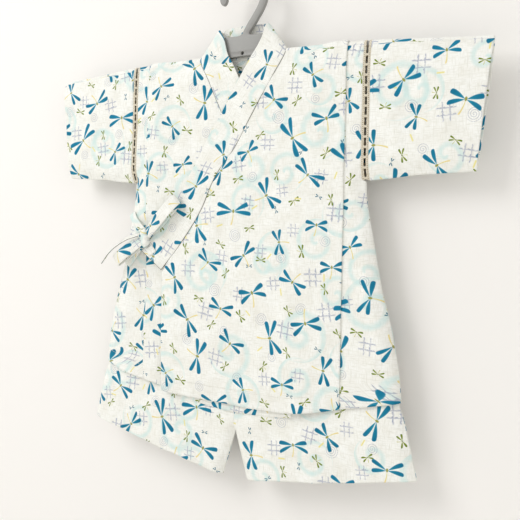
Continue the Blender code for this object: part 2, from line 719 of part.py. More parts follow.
def leg_grid(face):
    grid = []
    for z in SHORTS_LEVELS:
        outer = read(SHORTS_SIDE, z)
        start = GAP / 2
        row = [start + (outer - start) * share for share in SHORTS_SHARES]
        grid.append([(x, face * shorts_depth(x, z, outer) + waist_shift(z), z) for x in row])
    low_in, low_out = SHORTS_HEM[0], SHORTS_HEM[-1]
    for step in LEG_STEPS:
        inner_z = SHORTS_LEVELS[-1] + (low_in[1] - SHORTS_LEVELS[-1]) * step
        outer_z = SHORTS_LEVELS[-1] + (low_out[1] - SHORTS_LEVELS[-1]) * step
        outer = read(SHORTS_SIDE, outer_z)
        row = []
        for share in SHORTS_SHARES:
            x = inseam_x(inner_z) + (outer - inseam_x(inner_z)) * share
            straight = inner_z + (outer_z - inner_z) * share
            full_straight = low_in[1] + (low_out[1] - low_in[1]) * share
            z = straight + (read(SHORTS_HEM, x) - full_straight) * step**2
            row.append((x, face * shorts_depth(x, max(z, inner_z), outer) + waist_shift(z), z))
        grid.append(row)
    return grid


for side, side_name in ((LEFT, "left"), (RIGHT, "right")):
    for face, face_name in ((FRONT, "front"), (BACK, "back")):
        grid = [[(side * x, y, z) for x, y, z in row] for row in leg_grid(face)]
        if side * face != FRONT * LEFT:
            grid = [row[::-1] for row in grid]
        name = "shorts_" + side_name + "_" + face_name
        sheet(name, grid, even_walls(grid, WALL), cloth(name))

for face, face_name in ((FRONT, "front"), (BACK, "back")):
    half_wide = SHORTS_SIDE[0][1]
    edge_deep = (WAISTBAND_WALL + GAP) / 2
    grid = []
    for z in (WAIST_Z, WAIST_Z - WAISTBAND_TALL + 2 * GAP):
        row = []
        for x in [half_wide * share for share in WAISTBAND_SHARES]:
            deep = edge_deep + (SHORTS_DEPTH - edge_deep) * ramp((half_wide - abs(x)) / 10)
            row.append((x, face * deep + WAIST_BACK_SHIFT, z))
        grid.append(row if face == FRONT else row[::-1])
    name = "waistband_" + face_name
    sheet(name, grid, even_walls(grid, WAISTBAND_WALL), cloth(name))
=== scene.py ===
import math

import bpy
import numpy as np
from mathutils import Matrix, Vector


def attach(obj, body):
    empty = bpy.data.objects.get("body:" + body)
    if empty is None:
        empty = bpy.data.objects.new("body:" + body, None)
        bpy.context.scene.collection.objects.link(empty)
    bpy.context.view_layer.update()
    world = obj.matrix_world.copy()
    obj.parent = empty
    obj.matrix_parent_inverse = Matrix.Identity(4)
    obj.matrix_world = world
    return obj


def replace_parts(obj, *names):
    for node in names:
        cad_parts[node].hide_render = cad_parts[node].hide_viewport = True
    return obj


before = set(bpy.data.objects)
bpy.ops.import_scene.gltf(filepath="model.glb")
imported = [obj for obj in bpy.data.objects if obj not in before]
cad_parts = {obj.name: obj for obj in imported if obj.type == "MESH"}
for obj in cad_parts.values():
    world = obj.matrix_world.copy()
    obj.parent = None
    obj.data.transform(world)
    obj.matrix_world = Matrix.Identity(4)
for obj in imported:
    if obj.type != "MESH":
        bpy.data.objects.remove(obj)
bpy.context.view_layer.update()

# The hanger is one flat moulding of grey plastic, 5 mm thick with rounded edges. A wide round hook
# carries it, and its two arms hold the jacket's shoulders from inside. A moulding hole is left in the bar.
HANG_Z = 88.5  # height of the hook's inner top above the shoulder line, in mm
HOOK_Z, HOOK_R, HOOK_HALF = 65.75, 27.0, 4.25
HOOK_START, HOOK_STEP = 186, 14.3  # degrees: where the hook's free end lies, and the way between points
HOLE_Z, HOLE_R = 0.2, 2.0
PLATE_HALF, PLATE_ROUND = 1.9, 0.6  # half the flat of the edge, and its round beside the flat
NECK_X, ARMHOLE_X, CUFF_X = 57, 152, 277
RIDGE = [(NECK_X, 0), (ARMHOLE_X, -2), (CUFF_X, -12)]


def ridge_z(x):
    """Height of the shoulder fold, which the arms follow."""
    return np.interp(np.abs(x), *np.array(RIDGE).T)


turns = np.radians(HOOK_START - HOOK_STEP * np.arange(15))
hook_line = [(HOOK_R * math.cos(a), HOOK_Z + HOOK_R * math.sin(a)) for a in turns]
hook_line = np.array(hook_line + [(22, 49.5), (15.5, 39.5), (9, 30.5), (5, 24)])
aside = np.gradient(hook_line, axis=0)
aside = np.stack([-aside[:, 1], aside[:, 0]], 1) / np.linalg.norm(aside, axis=1, keepdims=True)
arm = [(12, 20.5), (27, 20), (35, 15.5), (43, 7.5), (49, 0.5), (53.5, -4), (60, -4)]
arm += [(x, ridge_z(x) - 1.25) for x in (67, 95, 130, 156)]
arm += [(162, -6.2), (165, -11), (163, -16), (157, -18), (120, -18), (80, -17), (58, -14), (40, -8.5)]
stem_foot = [(-4.5, 20.8), (-0.6, 22.8)]
tip_way = (hook_line[1] - hook_line[0]) / np.linalg.norm(hook_line[1] - hook_line[0])
outline = [*(hook_line + aside * HOOK_HALF), *arm, (28, -5.4), (-28, -5.4)]
outline += [*[(-x, z) for x, z in reversed(arm)], *stem_foot, *(hook_line - aside * HOOK_HALF)[::-1]]
outline.append(hook_line[0] - tip_way * HOOK_HALF)

bpy.ops.object.select_all(action="DESELECT")
bpy.ops.curve.primitive_bezier_circle_add(radius=HOLE_R / 1000, location=(0, 0, 0))
hanger = bpy.context.object
hanger.name = "Hanger"
hanger.data.dimensions = "2D"
hanger.data.fill_mode = "BOTH"
hanger.data.resolution_u = 6
hanger.data.extrude = PLATE_HALF / 1000
hanger.data.bevel_depth = PLATE_ROUND / 1000
hanger.data.bevel_resolution = 2
hanger.data.offset = -PLATE_ROUND / 1000
for point in hanger.data.splines[0].bezier_points:
    for part in ("co", "handle_left", "handle_right"):
        setattr(point, part, getattr(point, part) + Vector((0, (HOLE_Z - HANG_Z) / 1000, 0)))
spline = hanger.data.splines.new("BEZIER")
spline.bezier_points.add(len(outline) - 1)
spline.use_cyclic_u = True
for point, (x, z) in zip(spline.bezier_points, outline):
    point.co = (x / 1000, (z - HANG_Z) / 1000, 0)
    point.handle_left_type = point.handle_right_type = "AUTO"
hanger.rotation_euler = (math.pi / 2, 0, 0)
bpy.ops.object.convert(target="MESH")
bpy.ops.object.transform_apply(location=True, rotation=True, scale=True)
bpy.ops.object.mode_set(mode="EDIT")
bpy.ops.mesh.select_all(action="SELECT")
bpy.ops.mesh.remove_doubles(threshold=0.00002)
bpy.ops.mesh.normals_make_consistent(inside=False)
bpy.ops.object.mode_set(mode="OBJECT")
bpy.ops.object.shade_smooth_by_angle(angle=math.radians(40))


class Value:
    """What a shader node gives at each point. Arithmetic on it adds Math nodes beside that node."""

    def __init__(self, socket):
        self.socket = socket

    def __add__(self, other):
        return reckon("ADD", self, other)

    def __sub__(self, other):
        return reckon("SUBTRACT", self, other)

    def __rsub__(self, other):
        return reckon("SUBTRACT", other, self)

    def __mul__(self, other):
        return reckon("MULTIPLY", self, other)

    def __truediv__(self, other):
        return reckon("DIVIDE", self, other)

    def __abs__(self):
        return reckon("ABSOLUTE", self)

    def __lt__(self, other):
        return reckon("LESS_THAN", self, other)

    def __gt__(self, other):
        return reckon("GREATER_THAN", self, other)

    def clamped(self):
        """The same value, held between 0 and 1 in the Math node that made it."""
        self.socket.node.use_clamp = True
        return self


def plug(value, socket):
    """Gives a socket a node's value, a plain number or a colour."""
    if isinstance(value, Value):
        socket.id_data.links.new(value.socket, socket)
    else:
        socket.default_value = (*value, 1) if socket.type == "RGBA" else value


def reckon(kind, *given):
    """A Math node on these values and numbers, in this order."""
    tree = next(value.socket.id_data for value in given if isinstance(value, Value))
    made = tree.nodes.new("ShaderNodeMath")
    made.operation = kind
    for socket, value in zip(made.inputs, given):
        plug(value, socket)
    return Value(made.outputs[0])


def node(tree, kind, settings=(), **given):
    """Adds a shader node with its settings and inputs, and returns its outputs by name."""
    made = tree.nodes.new("ShaderNode" + kind)
    for label, setting in dict(settings).items():
        setattr(made, label, setting)
    for label, value in given.items():
        plug(value, made.inputs[label.replace("_", " ")])
    return {output.name: Value(output) for output in made.outputs if output.enabled}


def shader(name, colour, roughness):
    """A plain material, its tree and its Principled node's inputs."""
    made = bpy.data.materials.new(name)
    made.use_nodes = True
    inputs = made.node_tree.nodes["Principled BSDF"].inputs
    plug(colour, inputs["Base Color"])
    plug(roughness, inputs["Roughness"])
    return made, made.node_tree, inputs


def raise_surface(tree, inputs, height, strength, distance):
    """A fine relief on a material: how strong it is, and how far in metres it stands up."""
    plug(node(tree, "Bump", Strength=strength, Distance=distance, Height=height)["Normal"], inputs["Normal"])


def linear(*rgb):
    """A colour as seen on screen, 0 to 255, as the light values that a shader takes."""
    return tuple(((c / 255 + 0.055) / 1.055) ** 2.4 if c > 10 else c / 3294 for c in rgb)


plastic, tree, inputs = shader("GreyPlastic", linear(150, 149, 145), 0.4)
grain = node(tree, "TexNoise", Vector=node(tree, "TexCoord")["Object"], Scale=900)["Fac"]
raise_surface(tree, inputs, grain, 0.12, 0.0003)
hanger.data.materials.clear()
hanger.data.materials.append(plastic)
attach(hanger, "root")
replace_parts(hanger, "hanger")

# The cloth is a thin slubby plain-weave cotton, printed on cream-white: teal dragonflies with yellow
# tails, small green and teal ones, brushed lattice marks, fine dotted spirals and pale mint swirls.
CELL = 50.0  # size of the print's repeating squares in mm, each filled in its own way
SLANT = math.radians(21)  # how far the rows of squares are turned on the cloth
# the second and third colours: the cloth between and inside large soft blotches of painted shade, which stand in
# for the shade of its soft wrinkles
GROUND, UNSHADED_CLOTH, PAINTED_SOFT_SHADE = linear(249, 250, 244), linear(253, 253, 248), linear(243, 241, 232)
WEAVE_SHADE, SLUB_SHADE = linear(226, 225, 213), linear(222, 220, 208)
MINT, DOT_GREY, TINY_TEAL, LATTICE_BLUE = (
    linear(212, 234, 230), linear(158, 164, 182), linear(30, 110, 134), linear(160, 166, 188))
GREEN_ROOT, GREEN_TIP, GREEN_RIM = linear(150, 160, 60), linear(100, 124, 30), linear(176, 194, 104)
GREEN_TAIL, GREEN_BODY, DASH_YELLOW = linear(196, 192, 84), linear(86, 100, 36), linear(240, 230, 158)
TEAL_ROOT, TEAL_TIP, TEAL_RIM = linear(30, 144, 170), linear(12, 100, 136), linear(96, 184, 208)
TEAL_BLOT, TEAL_LIVELY = linear(18, 112, 142), linear(24, 130, 166)
TAIL_ROOT, TAIL_TIP, OLIVE_BODY = linear(228, 218, 142), linear(240, 220, 156), linear(158, 158, 84)


def pattern(name, ins, outs):
    """A node group for a motif: its tree, what is given to it by name, and the sockets that it fills."""
    tree = bpy.data.node_groups.new(name, "ShaderNodeTree")
    for way, labels in (("INPUT", ins), ("OUTPUT", outs)):
        for label in labels:
            kind = "NodeSocketVector" if label == "Cloth" else "NodeSocketFloat"
            tree.interface.new_socket(name=label, in_out=way, socket_type=kind)
    sockets = tree.nodes.new("NodeGroupInput").outputs
    return tree, {label: Value(sockets[label]) for label in ins}, tree.nodes.new("NodeGroupOutput").inputs


def length(a, b):
    return reckon("SQRT", a * a + b * b)


def make_scatter():
    """Turns the cloth's own position into a place in mm inside one motif, turned and moved at random."""
    ins = ("Cloth", "Cell", "Shift X", "Shift Y", "Play", "Start", "Turn", "Seed")
    tree, given, out = pattern("Scatter", ins, ("X", "Y", "Chance", "Size"))
    cloth = node(tree, "SeparateXYZ", Vector=given["Cloth"])
    across = cloth["X"] / given["Cell"] + given["Shift X"]
    up = cloth["Y"] / given["Cell"] + given["Shift Y"]
    square = node(tree, "CombineXYZ", X=reckon("FLOOR", across), Y=reckon("FLOOR", up), Z=given["Seed"])
    noise = node(tree, "TexWhiteNoise", Vector=square["Vector"])
    lots = node(tree, "SeparateColor", Color=noise["Color"])
    places = []
    for along, lot in ((across, lots["Red"]), (up, lots["Green"])):
        inside = (reckon("FRACT", along) - 0.5) * given["Cell"]
        places.append(inside - (lot - 0.5) * given["Play"])
    moved = node(tree, "CombineXYZ", X=places[0], Y=places[1])
    turned = node(tree, "VectorRotate", {"rotation_type": "Z_AXIS"}, Vector=moved["Vector"],
                  Angle=lots["Blue"] * given["Turn"] + given["Start"])
    placed = node(tree, "SeparateXYZ", Vector=turned["Vector"])
    plug(placed["X"], out["X"])
    plug(placed["Y"], out["Y"])
    plug(noise["Value"], out["Chance"])
    plug(reckon("FRACT", noise["Value"] * 17.3), out["Size"])
    return tree


def make_dragonfly(name, wing_rows, breadth):
    """A dragonfly with leaf-shaped wings, a thin bent tail and a small body, about 42 mm across. Each row
    is a wing: degrees from the head, length. breadth is about 2.3 times the widest half width."""
    outs = ("Wings", "Rim", "Reach", "Tail", "Tip", "Body")
    tree, given, out = pattern(name, ("X", "Y", "Scale", "Narrow", "Sweep"), outs)
    x, y = given["X"] / given["Scale"], given["Y"] / given["Scale"]
    side = abs(x) / given["Narrow"]
    bent = y + side * (side * 0.006 + given["Sweep"])
    wings = []
    for degrees, reach in wing_rows:
        dx, dy = math.sin(math.radians(degrees)), math.cos(math.radians(degrees))
        share = reckon("MAXIMUM", reckon("MINIMUM", (side * dx + bent * dy) / reach, 0.87), 0.05)
        wide = share * reckon("SQRT", 1.12 - share) * breadth
        wings.append(length(side - share * (reach * dx), bent - share * (reach * dy)) - wide)
    near = reckon("MINIMUM", *wings)
    plug((near * -2.2).clamped(), out["Wings"])
    plug((near * 0.8 + 1.0).clamped(), out["Rim"])
    plug((length(side, bent) / 21.0).clamped(), out["Reach"])
    below = (y + 0.5) * -1.0
    past = reckon("MAXIMUM", reckon("MAXIMUM", below - 12.0, below * -1.0), 0.0)
    off_tail = length(abs(x - y * y * 0.016), past)
    plug(((below * 0.05 + 0.45 - off_tail) * 2.2).clamped(), out["Tail"])
    plug((below / 14.0).clamped(), out["Tip"])
    plug(((1.35 - length(x, (y - 0.6) * 0.6)) * 2.5).clamped(), out["Body"])
    return tree


def make_spiral():
    """One line that winds out from the middle. Band is its nearness, Round the way along each turn."""
    tree, given, out = pattern("Spiral", ("X", "Y", "Step", "Reach"), ("Band", "Round"))
    far = length(given["X"], given["Y"])
    angle = reckon("ARCTAN2", given["Y"], given["X"]) / (2 * math.pi)
    near = 1.0 - abs(reckon("FRACT", far / given["Step"] - angle) - 0.5) * 2.0
    plug(near * ((given["Reach"] - far) * 0.6).clamped(), out["Band"])
    plug(angle, out["Round"])
    return tree


def make_print():
    """The printed cotton: soft blotches of painted shade and its threads, then each kind of motif laid over
    those before it.
    """
    made, tree, inputs = shader("PrintedCotton", GROUND, 0.88)
    scatter, spiral = make_scatter(), make_spiral()
    dragonfly = make_dragonfly("Dragonfly", ((62, 21.0), (94, 19.0)), 5.3)
    crossed = make_dragonfly("CrossedDragonfly", ((71, 21.0), (108, 19.5)), 5.6)
    cloth = node(tree, "UVMap", {"uv_map": "Cloth"})["UV"]
    slant = node(tree, "Mapping", Vector=cloth, Rotation=(0, 0, SLANT), Scale=(1000, 1000, 1000))["Vector"]
    wobble = node(tree, "TexNoise", Vector=slant, Scale=0.35, Detail=1)["Fac"]
    blot = node(tree, "TexNoise", Vector=slant, Scale=0.16, Detail=3)["Fac"]
    # the mask of the large soft blotches of painted shade
    uneven = node(tree, "TexNoise", Vector=slant, Scale=0.045, Detail=2)["Fac"]

    def lay(under, mask, colour):
        """Paints a colour over what is under it wherever the mask is 1."""
        return node(tree, "Mix", {"data_type": "RGBA"}, Factor=mask, A=under, B=colour)["Result"]

    def place(seed, cell, shift, play, start=0.0, turn=2 * math.pi):
        """One motif in each square: the squares' size and shift, and how far the motif moves and turns."""
        return node(tree, "Group", {"node_tree": scatter}, Cloth=slant, Cell=cell, Shift_X=shift[0],
                    Shift_Y=shift[1], Play=play, Start=start, Turn=turn, Seed=seed)

    def wind(spot, step, reach):
        return node(tree, "Group", {"node_tree": spiral}, X=spot["X"], Y=spot["Y"], Step=step, Reach=reach)

    def fly(kind, spot, scale, narrow, sweep):
        return node(tree, "Group", {"node_tree": kind}, X=spot["X"], Y=spot["Y"], Scale=scale,
                    Narrow=narrow, Sweep=sweep)

    def threads(spacing, run, level, gain):
        """Threads both ways: noise that is fine across each thread and long along it."""
        both = []
        for stretch in ((run, spacing, 1), (spacing, run, 1)):
            along = node(tree, "Mapping", Vector=cloth, Scale=stretch)["Vector"]
            noise = node(tree, "TexNoise", Vector=along, Scale=1, Detail=1)["Fac"]
            both.append(((noise - level) * gain).clamped())
        return reckon("MAXIMUM", *both)

    # Painted shade: large soft darker blotches at random, standing in for the shade of the cloth's soft
    # wrinkles.
    # Then threads: a fine uneven weave, with thicker slubs here and there, both ways.
    weave, slub = threads(880, 120, 0.48, 2.6), threads(520, 34, 0.6, 5.0)
    colour = lay(UNSHADED_CLOTH, ((uneven - 0.38) * 2.4).clamped(), PAINTED_SOFT_SHADE)
    colour = lay(colour, weave * 0.9, WEAVE_SHADE)
    colour = lay(colour, slub * 0.42, SLUB_SHADE)

    # Wide pale mint swirls, under everything else, in two sizes.
    for seed, cell, shift, step, size in ((3.0, 70.0, 0.3, 16.0, 22.0), (4.0, 96.0, 0.8, 21.0, 28.0)):
        spot = place(seed, cell, (shift, 0.1), 0.3 * cell)
        swirl = wind(spot, step, (spot["Size"] + 2.5) * (size / 2.8))
        mask = ((swirl["Band"] - 0.5) * 2.6).clamped() * (spot["Chance"] < 0.8)
        colour = lay(colour, mask * (blot * 1.1 + 0.12), MINT)

    # Fine dotted spirals and, where there is none, a tiny teal dragonfly.
    spot = place(5.0, CELL, (0.0, 0.5), 18.0)
    curl = wind(spot, 2.3, spot["Size"] * 3.0 + 6.5)
    dots = reckon("SINE", curl["Round"] * 138.0) * 0.3 + 0.6
    mask = ((curl["Band"] - 0.5) * 2.2).clamped() * dots * (spot["Chance"] < 0.52)
    colour = lay(colour, mask, DOT_GREY)
    tiny = fly(crossed, spot, 0.23, 0.9, 0.0)
    colour = lay(colour, tiny["Wings"] * (spot["Chance"] > 0.6), TINY_TEAL)

    # Lattice marks, upright on the cloth: two brushed strokes across two more.
    spot = place(7.0, CELL, (0.5, 0.0), 14.0, start=-SLANT - 0.17, turn=0.34)
    size = spot["Size"] * 0.45 + 0.8
    x, y = spot["X"] / size, spot["Y"] / size
    sway = (wobble - 0.5) * 2.4
    strokes = []
    for along, across in ((x, y), (y, x)):
        line = (1.4 - abs(abs(across + sway) - 3.2) * 1.45).clamped()
        strokes.append(line * ((9.6 - abs(along)) * 0.6).clamped())
    mask = reckon("MAXIMUM", *strokes) * (wobble * 1.5).clamped() * 0.9 * (spot["Chance"] < 0.86)
    colour = lay(colour, mask, LATTICE_BLUE)

    # Small yellow-green dragonflies with crossed wings.
    spot = place(11.0, CELL, (0.5, 0.5), 18.0)
    small = fly(crossed, spot, spot["Size"] * 0.08 + 0.34, 0.9, 0.0)
    leaf = lay(lay(GREEN_ROOT, small["Reach"], GREEN_TIP), small["Rim"] * 0.25, GREEN_RIM)
    colour = lay(colour, small["Wings"], leaf)
    colour = lay(colour, small["Tail"], GREEN_TAIL)
    colour = lay(colour, small["Body"], GREEN_BODY)

    # Yellow dashes, loose among the rest.
    spot = place(13.0, CELL, (0.27, 0.76), 12.0)
    past = reckon("MAXIMUM", abs(spot["Y"]) - 3.2, 0.0)
    mask = ((1.15 - length(spot["X"], past)) * 1.6).clamped() * (spot["Chance"] < 0.45)
    colour = lay(colour, mask, DASH_YELLOW)

    # Large teal dragonflies on top.
    spot = place(17.0, CELL, (0.0, 0.0), 11.0)
    sweep = (reckon("FRACT", spot["Chance"] * 7.0) - 0.5) * 0.5
    large = fly(dragonfly, spot, spot["Size"] * 0.36 + 0.86, spot["Chance"] * 0.34 + 0.74, sweep)
    ink = lay(lay(TEAL_ROOT, large["Reach"], TEAL_TIP), blot * 0.4, TEAL_BLOT)
    ink = lay(ink, reckon("FRACT", spot["Chance"] * 13.0) * 0.55, TEAL_LIVELY)
    ink = lay(ink, large["Rim"] * 0.4, TEAL_RIM)
    colour = lay(colour, large["Tail"], lay(TAIL_ROOT, large["Tip"], TAIL_TIP))
    colour = lay(colour, large["Wings"], ink)
    colour = lay(colour, large["Body"], OLIVE_BODY)

    plug(colour, inputs["Base Color"])
    plug(0.25, inputs["Specular IOR Level"])
    raise_surface(tree, inputs, slub + weave * 0.4, 0.35, 0.0004)
    return made


cotton = make_print()
COTTON = (cotton, "printed_cotton")

# The jacket's back is one width of cloth from armhole to armhole, cut away at the neck. The hanging
# cloth is flat and hollow: it closes at the side seams and turns over the hanger's arms at the top.
CLOTH = 0.35  # half the thickness of one layer, mm
FRONT, BACK = -1, 1
UNDERARM_Z, SIDE_HEM_Z, FRONT_HEM_Z = -149, -376, -406  # heights in mm from the shoulder line
HEM_START = -300  # below this, the rows of the cloth turn bit by bit into the curve of the hem
BODY_EDGE = 147.85  # where the body ends at the armhole
SEAM_DEPTH, LEAST_DEPTH = 0.65, 0.3  # half the depth where two layers are sewn together
SIDE = [(-149, 152), (-170, 153), (-211, 161), (-262, 171), (-300, 182), (-344, 191), (-376, 194)]
OVER_HEM = [(-99, -402.5), (-60, -404.5), (-17, -405), (18, -406), (65, -405), (105, -398), (139, -389)]
OVER_HEM += [(164, -383), (194, -376)]
UNDER_HEM = [(-194, -376), (-164, -388), (-101, -398), (-45, -411), (-9, -414.5), (47, -413), (76, -408.5)]
BACK_HEM = [(-194, -376), (-139, -391), (-65, -403), (0, -407), (65, -403), (139, -391), (194, -376)]
# each soft fold: x and z of its two ends, then its half width and height
BODY_FOLDS = [
    (-150, -172, -104, -118, 9, 1.2), (148, -168, 100, -108, 10, 1.2), (158, -196, 166, -330, 9, 1.6),
    (-150, -238, -166, -345, 10, 1.8), (66, -290, 82, -400, 15, 1.6), (-26, -318, -44, -402, 17, 1.4),
    (10, -150, -40, -215, 14, 1.0), (-112, -238, -116, -296, 17, -5.0),
]
SLEEVE_FOLDS = [(188, -134, 176, -78, 9, 1.2), (240, -132, 222, -58, 11, 1.0)]
RUMPLE_WAVES, RUMPLE_TALL = (28, 36, 47, 60, 78, 104, 130), 0.21
TUCK_X, TUCK_DEEP, TUCK_LOW_Z = 130.5, 12.0, -352  # the shoulder tuck's fold, depth and lower end
TURNS = [-20, 0, 12, 25, 40, 58, 76, 90]  # degrees from the top of the shoulder fold, row by row
FOLD_WAY = 8.0  # length of the cloth over the shoulder fold, in mm


def along(rows, at, soft=0.0):
    """The value at a place along a table of two columns, with its corners rounded off if asked."""
    keys, values = np.array(sorted(rows), float).T
    steps = (-1, -0.5, 0, 0.5, 1) if soft else (0,)
    return np.mean([np.interp(np.asarray(at) + step * soft, keys, values) for step in steps], axis=0)


def ease(share):
    """From 0 to 1 with a soft start and end."""
    share = np.clip(share, 0, 1)
    return share * share * (3 - 2 * share)


def ramp(share):
    """From 0 to 1 with a steep start and a soft end."""
    return np.sin(np.pi / 2 * np.clip(share, 0, 1))


def side_x(z):
    return along(SIDE, z, 8)


def ridge_radius(x):
    """Radius of the shoulder fold, wider over the hanger's arm."""
    return np.interp(np.abs(x), [165, CUFF_X], [4.0, 1.6])


def sleeve_low_z(x):
    return np.interp(np.abs(x), [ARMHOLE_X, 185, 205, 263], [UNDERARM_Z, -146, -143.5, -141])


def edge_far(x, z):
    """Distance from the side seam or the sleeve's lower seam."""
    corner = np.hypot(ARMHOLE_X - np.abs(x), z - UNDERARM_Z)
    above = np.where(np.abs(x) >= ARMHOLE_X, z - sleeve_low_z(x), corner)
    return np.where(z <= UNDERARM_Z, side_x(z) - np.abs(x), above)


def depth(x, z):
    """Half the depth of the hanging jacket."""
    full = np.interp(np.abs(x), [110, 150, CUFF_X], [7, 6, 5])
    full = full + (7 - full) * ease((UNDERARM_Z - z) / 40)
    radius = ridge_radius(x)
    drop = np.maximum(ridge_z(x) - z, 0)
    round_top = np.sqrt(np.maximum(radius**2 - (radius - np.minimum(drop, radius)) ** 2, 0))
    top = np.where(drop < radius, round_top, radius + (full - radius) * ramp((drop - radius) / 30))
    blend = np.interp(z, [SIDE_HEM_Z, UNDERARM_Z], [8, 22])
    return np.maximum(SEAM_DEPTH + (top - SEAM_DEPTH) * ramp(edge_far(x, z) / blend), LEAST_DEPTH)


def folds(rows, x, z):
    """Height of the soft folds, each a ridge that fades past its ends."""
    height = np.zeros(np.broadcast(x, z).shape)
    for x1, z1, x2, z2, wide, tall in rows:
        run = math.hypot(x2 - x1, z2 - z1)
        ahead = ((x - x1) * (x2 - x1) + (z - z1) * (z2 - z1)) / run
        off = ((x - x1) * (z2 - z1) - (z - z1) * (x2 - x1)) / run
        past = np.maximum(np.maximum(-ahead, ahead - run), 0)
        height += tall * np.exp(-((off / wide) ** 2) - (past / (1.5 * wide)) ** 2)
    return height


def rumple(x, z, seed):
    """The slight unevenness of pressed cotton: crossing waves, up to about one millimetre high."""
    lots = np.random.default_rng(seed)
    height = 0
    for wave in RUMPLE_WAVES:
        turn, start = lots.uniform(0, 2 * math.pi, 2)
        way = (x * math.cos(turn) + z * math.sin(turn)) / wave
        height = height + RUMPLE_TALL * np.sin(2 * math.pi * way + start + 1.5 * np.sin(way * 2.1 + start))
    return height


def body_relief(x, z):
    """Soft folds and unevenness of the body and sleeves. Every layer of one side shares them."""
    height = folds(BODY_FOLDS, x, z) + folds(SLEEVE_FOLDS, np.abs(x), z)
    return (height + 0.6 + rumple(x, z, 4)) * ramp(edge_far(x, z) / 16) * ease(-z / 40)


def add_piece(name, points, faces, cloth_uv, finish):
    """A smooth piece from points in mm, each point's place on the cloth, and a material with its slot. The slot
    is not used.
    """
    mesh = bpy.data.meshes.new(name)
    mesh.from_pydata(((points - (0, 0, HANG_Z)) / 1000).tolist(), [], faces)
    layer = mesh.uv_layers.new(name="Cloth")
    used = np.empty(len(mesh.loops), np.int32)
    mesh.loops.foreach_get("vertex_index", used)
    layer.data.foreach_set("uv", cloth_uv[used].astype(np.float32).ravel())
    mesh.shade_smooth()
    material, slot = finish
    mesh.materials.append(material)
    made = bpy.data.objects.new(name, mesh)
    bpy.context.scene.collection.objects.link(made)
    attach(made, "root")
    return made


def shell(solid, grid, cloth_uv, walls, finish=COTTON, ghost=0, name=None):
    """A closed piece of cloth about a grid of middle points in mm. walls gives each point's outward and
    inward thickness, and the rim is rounded. ghost counts first rows that only set the direction."""
    grid = np.asarray(grid, float)
    normal = np.cross(np.gradient(grid, axis=0), np.gradient(grid, axis=1))
    normal /= np.maximum(np.linalg.norm(normal, axis=2, keepdims=True), 1e-9)
    grid, normal, cloth_uv, walls = grid[ghost:], normal[ghost:], cloth_uv[ghost:], walls[ghost:]
    rows, columns = grid.shape[:2]
    number = np.arange(rows * columns).reshape(rows, columns)
    far = rows * columns
    middle = grid.reshape(-1, 3)
    outer = (grid + normal * walls[..., :1]).reshape(-1, 3)
    inner = (grid - normal * walls[..., 1:]).reshape(-1, 3)
    quads = np.stack([number[:-1, :-1], number[1:, :-1], number[1:, 1:], number[:-1, 1:]], -1).reshape(-1, 4)
    ring = np.concatenate([number[:-1, 0], number[-1, :-1], number[:0:-1, -1], number[0, :0:-1]])
    inside = np.concatenate([number[:-1, 1], number[-2, :-1], number[:0:-1, -2], number[1, :0:-1]])
    out = middle[ring] - middle[inside]
    out /= np.maximum(np.linalg.norm(out, axis=1, keepdims=True), 1e-9)
    edge = (outer[ring] + inner[ring]) / 2
    half = np.linalg.norm(outer[ring] - edge, axis=1, keepdims=True)
    points = np.concatenate([outer, inner, edge + out * half * 0.6])
    after = np.roll(ring, -1)
    rim = 2 * far + np.arange(len(ring))
    rim_after = np.roll(rim, -1)
    rims = [np.stack([after, ring, rim, rim_after], -1), np.stack([rim_after, rim, ring + far, after + far], -1)]
    faces = np.concatenate([quads, quads[:, ::-1] + far, *rims])
    flat_uv = cloth_uv.reshape(-1, 2)
    flat_uv = np.concatenate([flat_uv, flat_uv, flat_uv[ring]]) / 1000
    made = add_piece(name or solid.title().replace("_", ""), points, faces.tolist(), flat_uv, finish)
    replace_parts(made, solid)


def shoulder(x, raised, face):
    """Rows of points over the round shoulder fold, some way raised off it."""
    swing = np.radians(TURNS)[:, None]
    radius = ridge_radius(x)
    y = np.maximum(radius * np.sin(np.abs(swing)), 0.3) + raised * np.sin(np.abs(swing))
    y = np.where(swing < 0, -y, y) * face
    z = ridge_z(x) - radius + (radius + raised) * np.cos(swing)
    return np.stack([np.broadcast_to(x, y.shape), y, z], -1)


def across_body(inner, outer, share, count):
    """Places across a half of the body, through the shoulder tuck, which is folded like a Z: x, height
    above the lowest layer, and the position on the cloth."""
    deep, tall = 0.8 + (TUCK_DEEP - 0.8) * share, 0.7 + 1.3 * share
    radius = tall / 4
    turn = np.radians([50, 90, 130])
    x = [np.linspace(inner, TUCK_X - 1.5, count), TUCK_X - 1 + radius * np.sin(turn)]
    up = [None, 3 * radius + radius * np.cos(turn)]
    fold_x = TUCK_X - deep
    x += [np.linspace(TUCK_X - 1, fold_x, 5), fold_x - radius * np.sin(turn), np.linspace(fold_x, outer, 16)]
    up += [np.full(5, tall / 2), radius + radius * np.cos(turn), np.zeros(16)]
    up[0] = tall * ease((x[0] - 94) / 24)
    x, up = np.concatenate(x), np.concatenate(up)
    width = inner + np.concatenate([[0], np.cumsum(np.abs(np.diff(x)))])
    return x, up, width


def tuck_share(z):
    """How much of the tuck's depth is left: it opens just above the hem."""
    return 1 - ease((TUCK_LOW_Z - z) / 26)


def back_neck_z(x):
    """Height of the back's cut neck edge."""
    return -4.4 - 3 * (1 - (x / NECK_X) ** 2)


